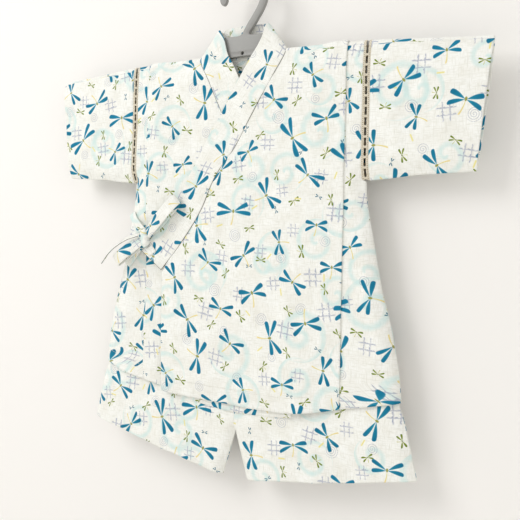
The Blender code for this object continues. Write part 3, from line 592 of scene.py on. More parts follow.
def body_piece(solid, inner_edge, hem, count, lift, sides, face, uv_shift):
    """Half or all of a body width, from the shoulder fold to its hem. Both sides make the back."""
    top = np.concatenate([[-6.5], -np.arange(9.5, -HEM_START, 3.2)])
    low = np.linspace(0.0, 1.0, 34)
    made = []
    for side in sides:
        x, up, width = across_body(inner_edge(0.0), BODY_EDGE, 1.0, count)
        rows = [shoulder(x, up, face) * (side, 1, 1)]
        uvs = [np.stack(np.broadcast_arrays(width * side, FOLD_WAY * np.arange(len(TURNS))[:, None] / 7), -1)]
        for step, level in [(None, z) for z in top] + [(s, 0.0) for s in low]:
            if step is None:
                z_side, inner = level, inner_edge(level)
                outer = BODY_EDGE if level > UNDERARM_Z - 0.5 else side_x(level)
            else:
                z_side = HEM_START + (SIDE_HEM_Z - HEM_START) * step
                z_inner = HEM_START + (along(hem, side * inner_edge(FRONT_HEM_Z)) - HEM_START) * step
                inner, outer = inner_edge(z_inner), side_x(z_side)
            x, up, width = across_body(inner, outer, tuck_share(z_side), count)
            z = np.full(len(x), level)
            if step is not None:
                z = HEM_START + (along(hem, side * x, 6) - HEM_START) * step
            z = np.minimum(z, -4.0)
            lifted = up + lift(side * x, z) + body_relief(-face * side * x, z)
            rows.append(np.stack([side * x, face * (depth(x, z) + lifted), z], -1)[None])
            uvs.append(np.stack([side * width, FOLD_WAY - z], -1)[None])
        rows, uvs = np.concatenate(rows), np.concatenate(uvs)
        if face == BACK:
            planned = [[1], -np.arange(len(TURNS) - 1.0), top, np.full(len(low), HEM_START)]
            planned = np.concatenate(planned)[:, None]
            cut = back_neck_z(rows[..., 0])
            z = cut + planned * (30 + cut) / 30
            neck = (np.abs(rows[..., 0]) < NECK_X) & (planned > -30)
            rows[..., 2] = np.where(neck, z, rows[..., 2])
            rows[..., 1] = np.where(neck, depth(rows[..., 0], z), rows[..., 1])
        made.append((rows, uvs) if side > 0 else (rows[:, ::-1], uvs[:, ::-1]))
    rows, uvs = made[0]
    if len(made) == 2:
        rows, uvs = (np.concatenate([left, right[:, 1:]], 1) for left, right in zip(*made))
    walls = np.full((*rows.shape[:2], 2), CLOTH)
    walls[-5:, :, 1] += 0.55
    if face == BACK:
        rows, uvs, walls = rows[:, ::-1], uvs[:, ::-1], walls[:, ::-1]
    shell(solid, rows, uvs + uv_shift, walls, ghost=1)


def back_inner(z):
    return 0.0


def flat_lift(x, z):
    return 0.0 * x


body_piece("jacket_back", back_inner, BACK_HEM, 70, flat_lift, (-1, 1), BACK, (400, 0))

# The lower front, on the wearer's right, is of the same cotton, cut slanting from the neck. It runs
# under the upper one, and its slanted edge is bound by the collar.
# seam point and free point of the band at each height, from its low end up to the shoulder
OVER_BAND = [
    (-103.5, -255, -131, -233), (-75, -222, -105, -200.5), (-49.5, -185, -80.5, -166), (-28.5, -143, -61, -134),
    (-3.7, -110, -38, -94.5), (12.5, -84, -22, -69.5), (29.2, -56, -5, -41), (45.2, -29, 14, -8),
    (53.5, -12, 22.5, 6), (56.5, -4, 28.5, 18),
]
UNDER_BAND = [
    (78, -222, 107, -199.5), (60, -185, 88.5, -160), (36, -143, 66, -129), (13, -110, 44.5, -96),
    (-13, -84, 20, -67.5), (-28.5, -56, 5.5, -41.5), (-42, -29, -9.5, -13.5), (-52, -12, -17.8, 0.5),
    (-56.5, -4, -23.5, 20),
]


def seam_x(rows, z):
    return along([(row[1], row[0]) for row in rows], z)


def over_inner(z):
    low_x, low_z = OVER_BAND[0][:2]
    return float(seam_x(OVER_BAND, z)) if z > low_z else low_x + 4.5 * (low_z - z) / 147.5


def under_inner(z):
    low_x, low_z = UNDER_BAND[0][:2]
    return float(-seam_x(UNDER_BAND, z)) if z > low_z else -low_x - 4 * (z - low_z) / 186.5


def over_lift(x, z):
    """How far the upper front lies off the lower one."""
    over_tuck = 2 * ease((-x - 55) / 35)
    return (3.5 + over_tuck) * ease((-z - 2) / 40) * (1 - ease((x - 88) / 34))


body_piece("jacket_front_under", under_inner, UNDER_HEM, 74, flat_lift, (-1,), FRONT, (0, 300))

# The upper front, on the wearer's left, is of the same cotton, cut wider. It lies over the lower one
# and is closed by the ties at the wearer's right side.
body_piece("jacket_front_over", over_inner, OVER_HEM, 84, over_lift, (1,), FRONT, (0, 0))

# The sleeves are straight and short, of the same cotton, each folded over at the shoulder and closed
# along its lower seam, with a narrow turned hem at the cuff.
LACE_IN, LACE_OUT = 148.15, 155.85
SLEEVE_EDGE = LACE_OUT + 0.3
CUFF_LOW_Z, CUFF_TOP_Z = -141, -12
QUARTERS = [(side, face, side_name + "_" + face_name) for side, side_name in ((1, "left"), (-1, "right"))
            for face, face_name in ((FRONT, "front"), (BACK, "back"))]


def cuff_x(z):
    return np.interp(z, [CUFF_LOW_Z, CUFF_TOP_Z], [263, CUFF_X])


def sleeve(solid, side, face, uv_shift):
    share = np.concatenate([np.linspace(0, 0.86, 34), np.linspace(0.875, 1, 10)])
    x_top = SLEEVE_EDGE + (CUFF_X - SLEEVE_EDGE) * share
    rows = [shoulder(x_top, 0.0 * x_top, FRONT)]
    uvs = [np.stack(np.broadcast_arrays(x_top, FOLD_WAY * np.arange(len(TURNS))[:, None] / 7), -1)]
    for step in np.concatenate([np.linspace(0.01, 0.8, 34), np.linspace(0.815, 1, 16)]):
        z_near = CUFF_TOP_Z + (CUFF_LOW_Z - CUFF_TOP_Z) * step
        x = SLEEVE_EDGE + (cuff_x(z_near) - SLEEVE_EDGE) * share
        top = ridge_z(x) - ridge_radius(x)
        z = top + (sleeve_low_z(x) - top) * step
        rows.append(np.stack([x, -(depth(x, z) + body_relief(side * x, z)), z], -1)[None])
        uvs.append(np.stack([x, FOLD_WAY - z], -1)[None])
    rows, uvs = np.concatenate(rows) * (side, -face, 1), np.concatenate(uvs)
    walls = np.full((*rows.shape[:2], 2), CLOTH)
    walls[:, -9:, 1] += 0.45
    if side * face > 0:
        rows, uvs, walls = rows[:, ::-1], uvs[:, ::-1], walls[:, ::-1]
    shell(solid, rows, uvs + uv_shift, walls, ghost=1)


for side, face, quarter in QUARTERS:
    shift_x, shift_y = (30, 520) if side > 0 else (700, 90)
    sleeve("sleeve_" + quarter, side, face, (shift_x, shift_y + 200 * face))

# Ladder lace joins each sleeve to the body: two beige cotton rails with a looped edge and brown dots, crossed by
# wrapped rungs. A darker cord down each side of the gaps is painted shade, for the shade seen through the gaps.
LACE_TOP, LACE_LOW, LACE_CELLS = -9.0, -148.0, 13
PITCH = (LACE_TOP - LACE_LOW) / LACE_CELLS
GAP_TALL = 6.6 * PITCH / 10.3
RAIL_WIDE, RUNG_R, GAP_SHADE_CORD_R, DOT_R = 2.2, 0.62, 0.5, 0.36


def lace_material():
    """Twisted beige yarn, lighter and darker along its turns."""
    made, tree, inputs = shader("LadderLace", linear(228, 220, 202), 0.85)
    cloth = node(tree, "UVMap", {"uv_map": "Cloth"})["UV"]
    twist = node(tree, "TexWave", {"bands_direction": "DIAGONAL"}, Vector=cloth, Scale=420)["Fac"]
    dark, light = linear(206, 194, 168), linear(240, 233, 216)
    shades = node(tree, "Mix", {"data_type": "RGBA"}, Factor=twist, A=dark, B=light)["Result"]
    plug(shades, inputs["Base Color"])
    raise_surface(tree, inputs, twist, 0.5, 0.0003)
    return made


LACE = (lace_material(), "ladder_lace")
# brown, for the rails' own dots and for the painted shade down the gaps
LACE_DOTS_AND_GAP_SHADE = (shader("BrownDotsAndGapShade", linear(128, 112, 84), 0.8)[0], "ladder_lace")


def lace_spot(x, z, side, face, lift=0.0):
    """A point on the strip, in the garment frame."""
    y = -(depth(x, z) + body_relief(side * x, z) + lift)
    return np.stack(np.broadcast_arrays(side * x, -face * y, z), -1)


def rail(x_low, x_high, side, face):
    """One rail as a grid: over the shoulder, then down to the underarm."""
    x = np.linspace(x_low, x_high, 5)
    rows = shoulder(x, 0.0 * x, FRONT) * (side, -face, 1)
    z = np.linspace(-7, LACE_LOW, 130)[:, None]
    middle = (LACE_IN + LACE_OUT) / 2
    phase = (LACE_TOP - z) / PITCH * 2 * math.pi
    loops = 0.35 * (1 - np.cos(2 * phase)) * (1 if x_high < middle else -1)
    share = (x - x_low) / (x_high - x_low)
    share = share if x_high < middle else 1 - share
    return np.concatenate([rows, lace_spot(x + loops * share * 0.6, z, side, face)])


def tube(points, radius, sides=6):
    """A round thread along points in mm, as vertices and faces."""
    points = np.asarray(points, float)
    ahead = np.gradient(points, axis=0)
    ahead /= np.maximum(np.linalg.norm(ahead, axis=1, keepdims=True), 1e-9)
    across = np.cross(ahead, (0.03, 1, 0.02))
    across /= np.maximum(np.linalg.norm(across, axis=1, keepdims=True), 1e-9)
    other = np.cross(ahead, across)
    turn = np.linspace(0, 2 * math.pi, sides, endpoint=False)[None, :, None]
    radius = np.broadcast_to(np.asarray(radius, float), len(points))[:, None, None]
    ring = points[:, None] + radius * (across[:, None] * np.cos(turn) + other[:, None] * np.sin(turn))
    faces = []
    for row in range(len(points) - 1):
        for k in range(sides):
            a, b = row * sides + k, row * sides + (k + 1) % sides
            faces.append((a, b, b + sides, a + sides))
    faces.append(tuple(range(sides))[::-1])
    faces.append(tuple(range((len(points) - 1) * sides, len(points) * sides)))
    return ring.reshape(-1, 3), faces


def joined(name, parts, finish, uv_shift=(0, 0)):
    """One mesh from many (vertices, faces) parts in mm."""
    points, faces, count = [], [], 0
    for vertices, part_faces in parts:
        points.append(vertices)
        faces += [tuple(i + count for i in face) for face in part_faces]
        count += len(vertices)
    points = np.concatenate(points)
    return add_piece(name, points, faces, (points - (0, 0, HANG_Z))[:, [0, 2]] / 1000 + uv_shift, finish)


for side, face, quarter in QUARTERS:
    title = quarter.title().replace("_", "")
    rungs = []
    for cell in range(LACE_CELLS):
        z_mid = LACE_TOP - cell * PITCH - GAP_TALL - (PITCH - GAP_TALL) / 2
        for k in (-1, 0, 1):
            x = np.linspace(LACE_IN + 1.1, LACE_OUT - 1.1, 9)
            pinch = 1 - 0.45 * np.sin(np.pi * (x - x[0]) / (x[-1] - x[0]))
            z = z_mid + k * 1.15 * pinch
            rungs.append(tube(lace_spot(x, z, side, face), RUNG_R))
    joined("LaceRungs" + title, rungs, LACE)
    threads = []
    # painted shade: a dark cord down each side of the gaps; beside it, the rails' own brown dots
    for x_edge, way in ((LACE_IN + 2.35, 1), (LACE_OUT - 2.35, -1)):
        z = np.linspace(LACE_TOP + 1.5, LACE_LOW + 1, 160)
        wave = 0.34 * np.cos((LACE_TOP - z) / PITCH * 4 * math.pi) * way
        threads.append(tube(lace_spot(x_edge + wave, z, side, face, -0.2), GAP_SHADE_CORD_R, 5))
        for cell in np.arange(0, LACE_CELLS, 0.2):
            z = LACE_TOP - cell * PITCH - np.array([0.0, 0.45, 0.9])
            threads.append(tube(lace_spot(x_edge - 1.3 * way, z, side, face, 0.38), DOT_R, 4))
    joined("LaceThreads" + title, threads, LACE_DOTS_AND_GAP_SHADE)
    for which, low in (("Inner", LACE_IN), ("Outer", LACE_OUT - RAIL_WIDE)):
        grid = rail(low, low + RAIL_WIDE, side, face)
        uvs = grid[..., [0, 2]]
        walls = np.full((*grid.shape[:2], 2), 0.45)
        if side * face > 0:
            grid, uvs = grid[:, ::-1], uvs[:, ::-1]
        shell("lace_" + quarter, grid, uvs, walls, finish=LACE, ghost=1, name="LaceRail" + which + title)

# The jacket's turned hems are closed with a line of machine stitches in cream cotton thread, about
# 17 mm above the edge. Each stitch is a short round thread pressed into the cloth.
SEWN = (shader("SewingThread", linear(226, 224, 214), 0.8)[0], None)
STITCH_LONG, STITCH_GAP, STITCH_R = 2.3, 0.7, 0.16
SEWN_UP = 17  # height of the stitches above the hem


def stitches(name, line):
    """A row of stitches along a line of points in mm, each a short tube bedded in the cloth."""
    parts = []
    run = np.concatenate([[0], np.cumsum(np.linalg.norm(np.diff(line, axis=0), axis=1))])
    for start in np.arange(0.5, run[-1] - STITCH_LONG, STITCH_LONG + STITCH_GAP):
        at = np.linspace(start, start + STITCH_LONG, 4)
        parts.append(tube(np.stack([np.interp(at, run, line[:, k]) for k in range(3)], -1), STITCH_R, 4))
    joined(name, parts, SEWN)


def hem_line(hem, x, lift, face=FRONT):
    """A line at the stitches' height above a hem, on the face of the cloth."""
    z = along(hem, x, 6) + SEWN_UP
    y = face * (depth(x, z) + body_relief(-face * x, z) + lift(x, z) + CLOTH + 0.1)
    return np.stack([x, y, z], -1)


stitches("HemStitchesFront", hem_line(OVER_HEM, np.arange(-92, 188, 2.0), over_lift))
stitches("HemStitchesUnder", hem_line(UNDER_HEM, np.arange(-186, -104, 2.0), flat_lift))
stitches("HemStitchesBack", hem_line(BACK_HEM, np.arange(-186, 188, 2.0), flat_lift, BACK))

# The collar is one doubled band of the same cotton, sewn along the neck and both front edges. It
# lies flat down the fronts, turns over the shoulders and stands up round the back of the neck.
# the dark of a seam's groove or of an edge that is seen end on
SHADE = (shader("SeamShade", linear(112, 112, 100), 0.95)[0], None)
# the band at the top of the shoulder: its seam point, its free point, and its share of the depth
BAND_SIDE = [(55.6, -1.2, 30, 28, 0.72), (56, 0, 33, 31, 0)]


def smooth(points, count):
    """A smooth line through points, as evenly spaced places."""
    points = np.asarray(points, float)
    ends = np.concatenate([[2 * points[0] - points[1]], points, [2 * points[-1] - points[-2]]])
    fine = []
    for i in range(len(points) - 1):
        a, b, c, d = ends[i : i + 4]
        t = np.linspace(0, 1, 24, endpoint=False)[:, None]
        curved = (2 * a - 5 * b + 4 * c - d) * t**2 + (3 * b - a - 3 * c + d) * t**3
        fine.append(0.5 * (2 * b + (c - a) * t + curved))
    fine = np.concatenate([*fine, points[-1:]])
    run = np.concatenate([[0], np.cumsum(np.linalg.norm(np.diff(fine[:, :3], axis=0), axis=1))])
    at = np.linspace(0, run[-1], count)
    return np.stack([np.interp(at, run, fine[:, k]) for k in range(points.shape[1])], -1), at


def band_front(rows, lift):
    """Seam point and free point, in one row of six numbers, up one front edge. The low end stands off."""
    made = []
    for sx, sz, fx, fz in rows:
        seam_y = -depth(sx, sz) - lift(sx, sz) - body_relief(sx, sz)
        free_y = -np.maximum(depth(fx, min(fz, -8)), 5.8) - lift(sx, min(fz, sz))
        stand_off = 1.8 * float(ease((-225 - sz) / 30))
        made.append([sx, float(seam_y) - stand_off, sz, fx, float(free_y) - stand_off, fz])
    return made


def band_side(side, face):
    """The band's rows over the top of one shoulder."""
    made = []
    for sx, sz, fx, fz, share in BAND_SIDE:
        made.append([side * sx, face * max(4 * share, 0.3), sz, side * fx, face * max(5.8 * share, 0.3), fz])
    return made


def band(solid, rows, count, flip, uv_shift):
    """The doubled band between a seam line and a free folded edge, a little full in the middle."""
    line, run = smooth(rows, count)
    share = np.concatenate([[0.011, 0.03, 0.07], np.linspace(0.13, 0.9, 12), [0.95, 0.985, 1.0]])
    grid = line[:, None, :3] + (line[:, None, 3:] - line[:, None, :3]) * share[None, :, None]
    wide = np.linalg.norm(line[:, 3:] - line[:, :3], axis=1)
    uvs = np.stack(np.broadcast_arrays(run[:, None], share * wide.mean()), -1)
    full = 0.62 + 0.28 * np.sin(np.pi * np.clip(share, 0, 1)) ** 0.7
    ripple = 0.12 * np.sin(run / 7.5) * np.sin(run / 23 + 1)
    walls = np.stack(np.broadcast_arrays(full + ripple[:, None] * (share < 0.9), full + 0.0 * run[:, None]), -1)
    if flip:
        grid, uvs, walls = grid[:, ::-1], uvs[:, ::-1], walls[:, ::-1]
    shell(solid, grid, uvs + uv_shift, walls)


def under_lift(x, z):
    return 0.3 + 0.0 * x


over_rows, under_rows = band_front(OVER_BAND, over_lift), band_front(UNDER_BAND, under_lift)
band("collar_over", over_rows + band_side(1, FRONT), 150, False, (900, 40))
band("collar_under", under_rows + band_side(-1, FRONT), 120, True, (900, 240))


def seam_groove(name, rows, rise, radius):
    """The dark groove of a collar seam: a fine cord of shade laid beside the seam line."""
    line = smooth(rows, 220)[0]
    way = line[:, 3:] - line[:, :3]
    way /= np.linalg.norm(way, axis=1, keepdims=True)
    joined(name, [tube(line[:, :3] - way * 0.3 - (0, rise, 0), radius)], SHADE)


seam_groove("CollarSeamOver", over_rows, 0.5, 0.24)
seam_groove("CollarSeamUnder", under_rows, 0.45, 0.2)
low_end = np.array(over_rows[0])
end_line = low_end[:3] + np.linspace(0, 1, 12)[:, None] * (low_end[3:] - low_end[:3])
joined("CollarEndSeam", [tube(end_line + (-0.25, -0.1, -0.6), 0.24)], SHADE)
back_rows = []
for x in (51.5, 38, 19, 0, -19, -38, -51.5):
    share = x / NECK_X
    z = back_neck_z(x) + 0.3
    back_rows.append([x, float(depth(x, z)), z, share * 31, 6.3, 32 + 1.5 * (1 - share**2)])
back_rows = band_side(1, BACK)[::-1] + back_rows + band_side(-1, BACK)
band("collar_back", back_rows, 90, False, (900, 440))

# Folded cotton tapes close the jacket at the wearer's right side, tied in a bow: one tape from the
# upper front's edge, one from the side of the body, a knot, two loops and two short tails.
KNOT = np.array([-124.5, -17.5, -217.0])
CLOTH_Y = -16  # the face of the cloth beside the knot
LOOP_WIDTHS = [9.5, 13, *[14.5] * 7, 13, 9.5]
TAIL_ACROSS, TAIL_WIDTHS = np.array((-0.284, 0.863, 0.416)), [8, 9.5, 10, 10.5, 10.5]


def beside_knot(aim, route):
    """Points along a direction from the knot, at heights off the cloth and, if stated, off to one side."""
    way_x, way_z = np.array(aim) / np.linalg.norm(aim)
    made = []
    for out, height, *off in route:
        above = off[0] if off else 0
        x, z = KNOT[0] + way_x * out + way_z * above, KNOT[2] + way_z * out - way_x * above
        made.append((x, CLOTH_Y - height, z))
    return made


def spread(widths, count):
    return np.interp(np.linspace(0, 1, count), np.linspace(0, 1, len(widths)), widths)


def tape(solid, points, across, widths, uv_shift, count=70, crush=0.5, seed=1):
    """A folded tape along points. widths gives its width from end to end; it is crushed where narrow."""
    line, run = smooth(points, count)
    widths = spread(widths, count)
    across = np.array(across, float) / np.linalg.norm(across)
    share = np.linspace(-0.5, 0.5, 15)
    out = np.cross(np.gradient(line, axis=0), across)
    out /= np.linalg.norm(out, axis=1, keepdims=True)
    grid = line[:, None] + across * (share[None, :, None] * widths[:, None, None])
    tight = (1 - widths / widths.max())[:, None]
    lots = np.random.default_rng(seed).uniform(0, 6, 3)
    pleat = np.sin(share * 17 + lots[0]) * tight * 0.8
    pleat = pleat + np.sin(share * 5 + run[:, None] / 13 + lots[1]) * crush * 0.3
    grid += out[:, None] * pleat[..., None]
    uvs = np.stack(np.broadcast_arrays(run[:, None], share * max(widths)), -1)
    shell(solid, grid, uvs + uv_shift, np.full((*grid.shape[:2], 2), 0.55))


# the way of each loop and tail from the knot, in x and z, then its route: how far out, how high off the
# cloth and, on the side tail, how far above that way
UP_AIM, LOW_AIM, TAIL_AIM = (48, 48), (-49, -34), (-33, -35)
up_route = [(5.0, 2.2), (12, 4.2), (26, 6.2), (45, 7.2), (60, 6.6), (66.5, 4.8), (68, 2.6), (66, 0.8)]
up_route += [(52, -0.6), (32, -0.6), (14, 0.1), (5.4, 0.4)]
low_route = [(4.8, 2.2), (12, 4.4), (20, 6.4), (34, 8.0), (46, 7.2), (52, 5.0), (53.5, 2.8), (51.5, 0.9)]
low_route += [(40, -0.3), (25, -0.4), (14, 0.1), (5.4, 0.4)]
low_tail = [(10, -1.6), (20, -2.4), (33, -3.4), (47, -4.4)]
side_tail = [(4.7, 3.4, 7.7), (20, 6, 12.5), (38, 7, 14.5), (55, 6.5, 13.5), (71, 5, 10)]
side_tie = [(-155, -5, -187), (-149, -9.6, -193), (-140, -13.4, -200), (-130, -15.8, -207.4)]
over_tie = [(-115, -14.6, -236), (-117.5, -15, -232), (-119.7, -15.8, -228.4)]
tape("bow_loop_upper", beside_knot(UP_AIM, up_route), (-1, 0, 1), LOOP_WIDTHS, (1300, 0),
     seed=3)
tape("bow_loop_lower", beside_knot(LOW_AIM, low_route), (34, 0, -49), LOOP_WIDTHS, (1300, 60),
     seed=5)
tape("bow_tail_low", beside_knot(TAIL_AIM, low_tail), (35, 0, -33), [8, 9.5, 10.5, 11], (1300, 120),
     30, 0.35, 7)
tape("bow_tail_side", beside_knot(LOW_AIM, side_tail), TAIL_ACROSS, TAIL_WIDTHS, (1300, 180),
     40, 0.4, 8)
tape("tie_side", side_tie, (0.8, 0, 0.6), [9.5, 9, 8.5, 8], (1300, 240), 24, 0.3, 9)
tape("tie_over", over_tie, (0.8, 0, 0.5), [11.5, 11, 10], (1300, 300), 16, 0.2, 10)

# The folded edge of the side tail is seen end on, as a thin dark line. It is sewn shut like the rest
# of the tape, and here a fine cord of shade lies along it.
tail_edge = smooth(beside_knot(LOW_AIM, side_tail), 40)[0]
tail_edge = tail_edge - TAIL_ACROSS * spread(TAIL_WIDTHS, 40)[:, None] / 2
joined("BowTailEdge", [tube(tail_edge, 0.42)], SHADE)

# The knot is one more turn of the same tape, pulled tight over the roots of the loops and tails.
# It is flat in front, and creases run across it.
KNOT_WIDE, KNOT_DEEP, KNOT_TALL, KNOT_TILT = 5.2, 4.8, 11.0, math.radians(-14)


def knot():
    """The knot: one turn of the tape pulled tight, with creases running across it."""
    turn = np.linspace(0, 2 * math.pi, 49)[:, None]
    share = np.linspace(-1, 1, 21)[None]
    bulge = np.maximum(1 - (share * 0.93) ** 4, 0) ** 0.5
    crease = 1 + 0.07 * np.cos(share * 11 + 0.7 * np.sin(turn)) * bulge + 0.03 * np.sin(3 * turn + 4 * share)
    wide, deep = np.sin(turn), -np.cos(turn)
    x = KNOT_WIDE * bulge * crease * np.sign(wide) * np.abs(wide) ** 0.7 + 0.8 * share
    y = KNOT_DEEP * bulge * crease * np.sign(deep) * np.abs(deep) ** 0.6
    z = KNOT_TALL * share + 0.8 * np.sin(turn)
    tilted_x = x * math.cos(KNOT_TILT) + z * math.sin(KNOT_TILT)
    tilted_z = z * math.cos(KNOT_TILT) - x * math.sin(KNOT_TILT)
    points = np.stack(np.broadcast_arrays(tilted_x, y, tilted_z), -1)[:-1] + KNOT
    rows, columns = points.shape[:2]
    faces = []
    for i in range(rows):
        after = (i + 1) % rows
        for j in range(columns - 1):
            low, high = i * columns + j, after * columns + j
            faces.append((low, high, high + 1, low + 1))
    faces.append(tuple(i * columns for i in range(rows)))
    faces.append(tuple(i * columns + columns - 1 for i in reversed(range(rows))))
    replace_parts(joined("BowKnot", [(points.reshape(-1, 3), faces)], COTTON, (0.512, 0.93)), "bow_knot")


knot()

# The shorts are of the same cotton. They hang inside the jacket and show below its hem: two wide
# straight legs with a turned hem, each closed at its side and inside seams and gathered at the waist.
WAIST_TOP, WAIST_LOW, CROTCH = -226, -246, -437.0  # heights in mm from the shoulder line
WAIST_HALF, BAND_TALL = 118, 19.4
HEM_TURN, HEM_IN, HEM_OUT = -420, -491, -452  # where the rows turn into the hem, and the hem's two ends
INSEAM_X, SHORTS_TILT = 0.15, 1.7  # half the gap between the legs, and the way back at the waist
SHORTS_SIDE = [(WAIST_TOP, WAIST_HALF), (WAIST_LOW, 132), (-275, 158), (-310, 176), (-345, 186), (-376, 191)]
SHORTS_SIDE += [(-396, 198), (-453, 212)]
SHORTS_HEM = [(16.5, -491), (60, -482.5), (98, -476), (140, -468), (184, -457), (212, -452)]
SHORTS_FOLDS = [(8, -432, 74, -396, 9, 1.4), (96, -412, 104, -476, 13, 1.6), (166, -404, 184, -458, 12, 1.4)]


def waist_shift(z):
    """How far back the shorts lie, because their waist rests against the jacket's back."""
    return SHORTS_TILT * (1 - ease((WAIST_LOW - z) / 90))


def inseam_x(z):
    return INSEAM_X + 16.5 * np.maximum(CROTCH - z, 0) / 54


def shorts_depth(x, z, outer, side):
    """Half the depth of a leg, with its gathers at the waist and its folds below the jacket."""
    full = along([(WAIST_LOW, 3.4), (-376, 4.0), (-420, 5.2), (-491, 6.5)], z)
    inside = np.where(z < CROTCH, x - inseam_x(z), np.hypot(x, z - CROTCH))
    gather = 0.8 * np.sin(8 * np.pi * x / outer) * (1 - ease((WAIST_LOW - z) / 60))
    close = ramp((outer - x) / 12) * ramp(inside / 12)
    fold = folds(SHORTS_FOLDS, x, z) * ease((-390 - z) / 20)
    loose = (0.35 + rumple(side * x, z, 9)) * ease((-385 - z) / 25)
    return SEAM_DEPTH + (full + gather + fold + loose - SEAM_DEPTH) * close


def leg(solid, side, face, uv_shift):
    share = [[0, 0.004, 0.012, 0.024], np.linspace(0.04, 0.94, 68), [0.955, 0.97, 0.982, 0.99, 0.996, 1]]
    share = np.concatenate(share)
    places = []
    for z_row in np.concatenate([[WAIST_LOW, -246.8, -248], np.arange(-251, -418, -4.0)]):
        outer = along(SHORTS_SIDE, z_row, 6)
        x = INSEAM_X + (outer - INSEAM_X) * share
        z = np.full(len(x), z_row)
        places.append((x, z, z, outer))
    for step in np.linspace(0.03, 1, 34):
        z_in, z_out = HEM_TURN + (HEM_IN - HEM_TURN) * step, HEM_TURN + (HEM_OUT - HEM_TURN) * step
        outer = along(SHORTS_SIDE, z_out, 6)
        x = inseam_x(z_in) + (outer - inseam_x(z_in)) * share
        straight = z_in + (z_out - z_in) * share
        z = straight + (along(SHORTS_HEM, x, 8) - HEM_IN - (HEM_OUT - HEM_IN) * share) * step**2
        places.append((x, z, np.maximum(z, z_in), outer))
    rows = []
    for x, z, z_depth, outer in places:
        y = face * shorts_depth(x, z_depth, outer, side) + waist_shift(z)
        rows.append(np.stack([side * x, y, z], -1))
    rows = np.stack(rows)
    uvs = rows[..., [0, 2]] * (1, -1)
    walls = np.full((*rows.shape[:2], 2), CLOTH)
    walls[-9:, :, 1] += 0.5
    if side * face > 0:
        rows, uvs, walls = rows[:, ::-1], uvs[:, ::-1], walls[:, ::-1]
    waistband = "WaistbandFront" if face == FRONT else "WaistbandBack"
    shell(solid, rows, uvs + uv_shift, walls)


for side, face, quarter in QUARTERS:
    leg("shorts_" + quarter, side, face, (260 * side, 900 + 260 * face))

# The waistband is one doubled strip of the same cotton, sewn over the legs' gathered top. It is built
# in two halves that meet at the sides, and lies against the inside of the jacket's back.
for face, face_name in ((FRONT, "front"), (BACK, "back")):
    x = WAIST_HALF * np.sin(np.linspace(-1, 1, 121) * math.pi / 2)
    z = np.linspace(WAIST_TOP, WAIST_TOP - BAND_TALL, 15)[:, None]
    deep = 1.15 + 2.25 * ramp((WAIST_HALF - np.abs(x)) / 10)
    grid = np.stack(np.broadcast_arrays(x, face * deep + SHORTS_TILT, z), -1)
    ruck = 0.18 * np.sin(x * 1.1 + 0.4 * np.sin(x / 9)) * np.sin(np.pi * (z - WAIST_TOP) / -BAND_TALL)
    walls = np.stack([0.9 + ruck, np.full(ruck.shape, 0.9)], -1)
    uvs = grid[..., [0, 2]] * (1, -1) + (1500, 300 * face)
    if face == BACK:
        grid, uvs, walls = grid[:, ::-1], uvs[:, ::-1], walls[:, ::-1]
    shell("waistband_" + face_name, grid, uvs, walls)

# The wall close behind is painted off-white, and a pale floor lies below it. They aren't part of the
# object. Seen from behind, the wall is clear.
WALL_Y, FLOOR_Z, STAGE_SIZE = 0.03, -0.8, 8
bpy.ops.object.select_all(action="DESELECT")
bpy.ops.mesh.primitive_plane_add(size=STAGE_SIZE, location=(0, WALL_Y, 0.5), rotation=(math.pi / 2, 0, 0))
wall = bpy.context.object
wall.name = "Wall"
paint, tree, inputs = shader("WallPaint", linear(250, 247, 243), 0.9)
behind = node(tree, "NewGeometry")["Backfacing"]
either = tree.nodes.new("ShaderNodeMixShader")
plug(behind, either.inputs[0])
tree.links.new(tree.nodes["Principled BSDF"].outputs[0], either.inputs[1])
tree.links.new(tree.nodes.new("ShaderNodeBsdfTransparent").outputs[0], either.inputs[2])
tree.links.new(either.outputs[0], tree.nodes["Material Output"].inputs["Surface"])
wall.data.materials.append(paint)
bpy.ops.mesh.primitive_plane_add(size=STAGE_SIZE, location=(0, 0, FLOOR_Z))
floor = bpy.context.object
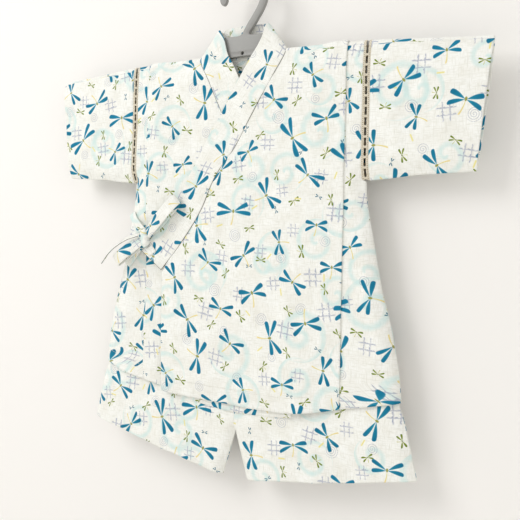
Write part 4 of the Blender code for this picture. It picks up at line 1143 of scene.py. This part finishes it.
floor.name = "Floor"
floor.data.materials.append(shader("FloorPaint", linear(244, 243, 240), 0.9)[0])


def area_light(name, place, aim, size, power, colour):
    bpy.ops.object.light_add(type="AREA", location=place)
    lamp = bpy.context.object
    lamp.name = name
    lamp.data.size = size
    lamp.data.energy = power
    lamp.data.color = colour
    lamp.rotation_euler = (Vector(aim) - Vector(place)).to_track_quat("-Z", "Y").to_euler()


area_light("Key", (-1.15, -1.4, 0.95), (-0.1, 0, -0.25), 1.2, 20.5, (1, 1, 0.995))
area_light("Fill", (1.5, -1.4, -0.1), (0, 0, -0.3), 1.6, 5, (1, 0.995, 0.99))
bpy.context.scene.view_settings.view_transform = "Standard"
world = bpy.context.scene.world or bpy.data.worlds.new("World")
bpy.context.scene.world = world
world.use_nodes = True
world.node_tree.nodes["Background"].inputs["Color"].default_value = (1, 1, 0.995, 1)
world.node_tree.nodes["Background"].inputs["Strength"].default_value = 0.58

# The camera stands to the wearer's left of the front, level with the chest, as in the photo. It was
# fitted to the photo from the garment's corners, so its lens and shifts are uneven numbers.
AZIMUTH, ELEVATION, ROLL = math.radians(30.01), math.radians(0.59), math.radians(-1.10)
AIM_Z, FAR = -0.2885, 0.79
LENS, SHIFT_X, SHIFT_Y = 47.08, 0.0385, -0.0648
bpy.ops.object.camera_add()
camera = bpy.context.object
bpy.context.scene.camera = camera
level = math.cos(ELEVATION)
back = Vector((math.sin(AZIMUTH) * level, -math.cos(AZIMUTH) * level, math.sin(ELEVATION)))
right = Vector((math.cos(AZIMUTH), math.sin(AZIMUTH), 0))
up = back.cross(right)
rolled_right = right * math.cos(ROLL) - up * math.sin(ROLL)
rolled_up = right * math.sin(ROLL) + up * math.cos(ROLL)
axes = Matrix((rolled_right, rolled_up, back)).transposed().to_4x4()
camera.matrix_world = Matrix.Translation(Vector((0, 0, AIM_Z)) + back * FAR) @ axes
camera.data.lens = LENS
camera.data.sensor_width = 36
camera.data.shift_x = SHIFT_X
camera.data.shift_y = SHIFT_Y
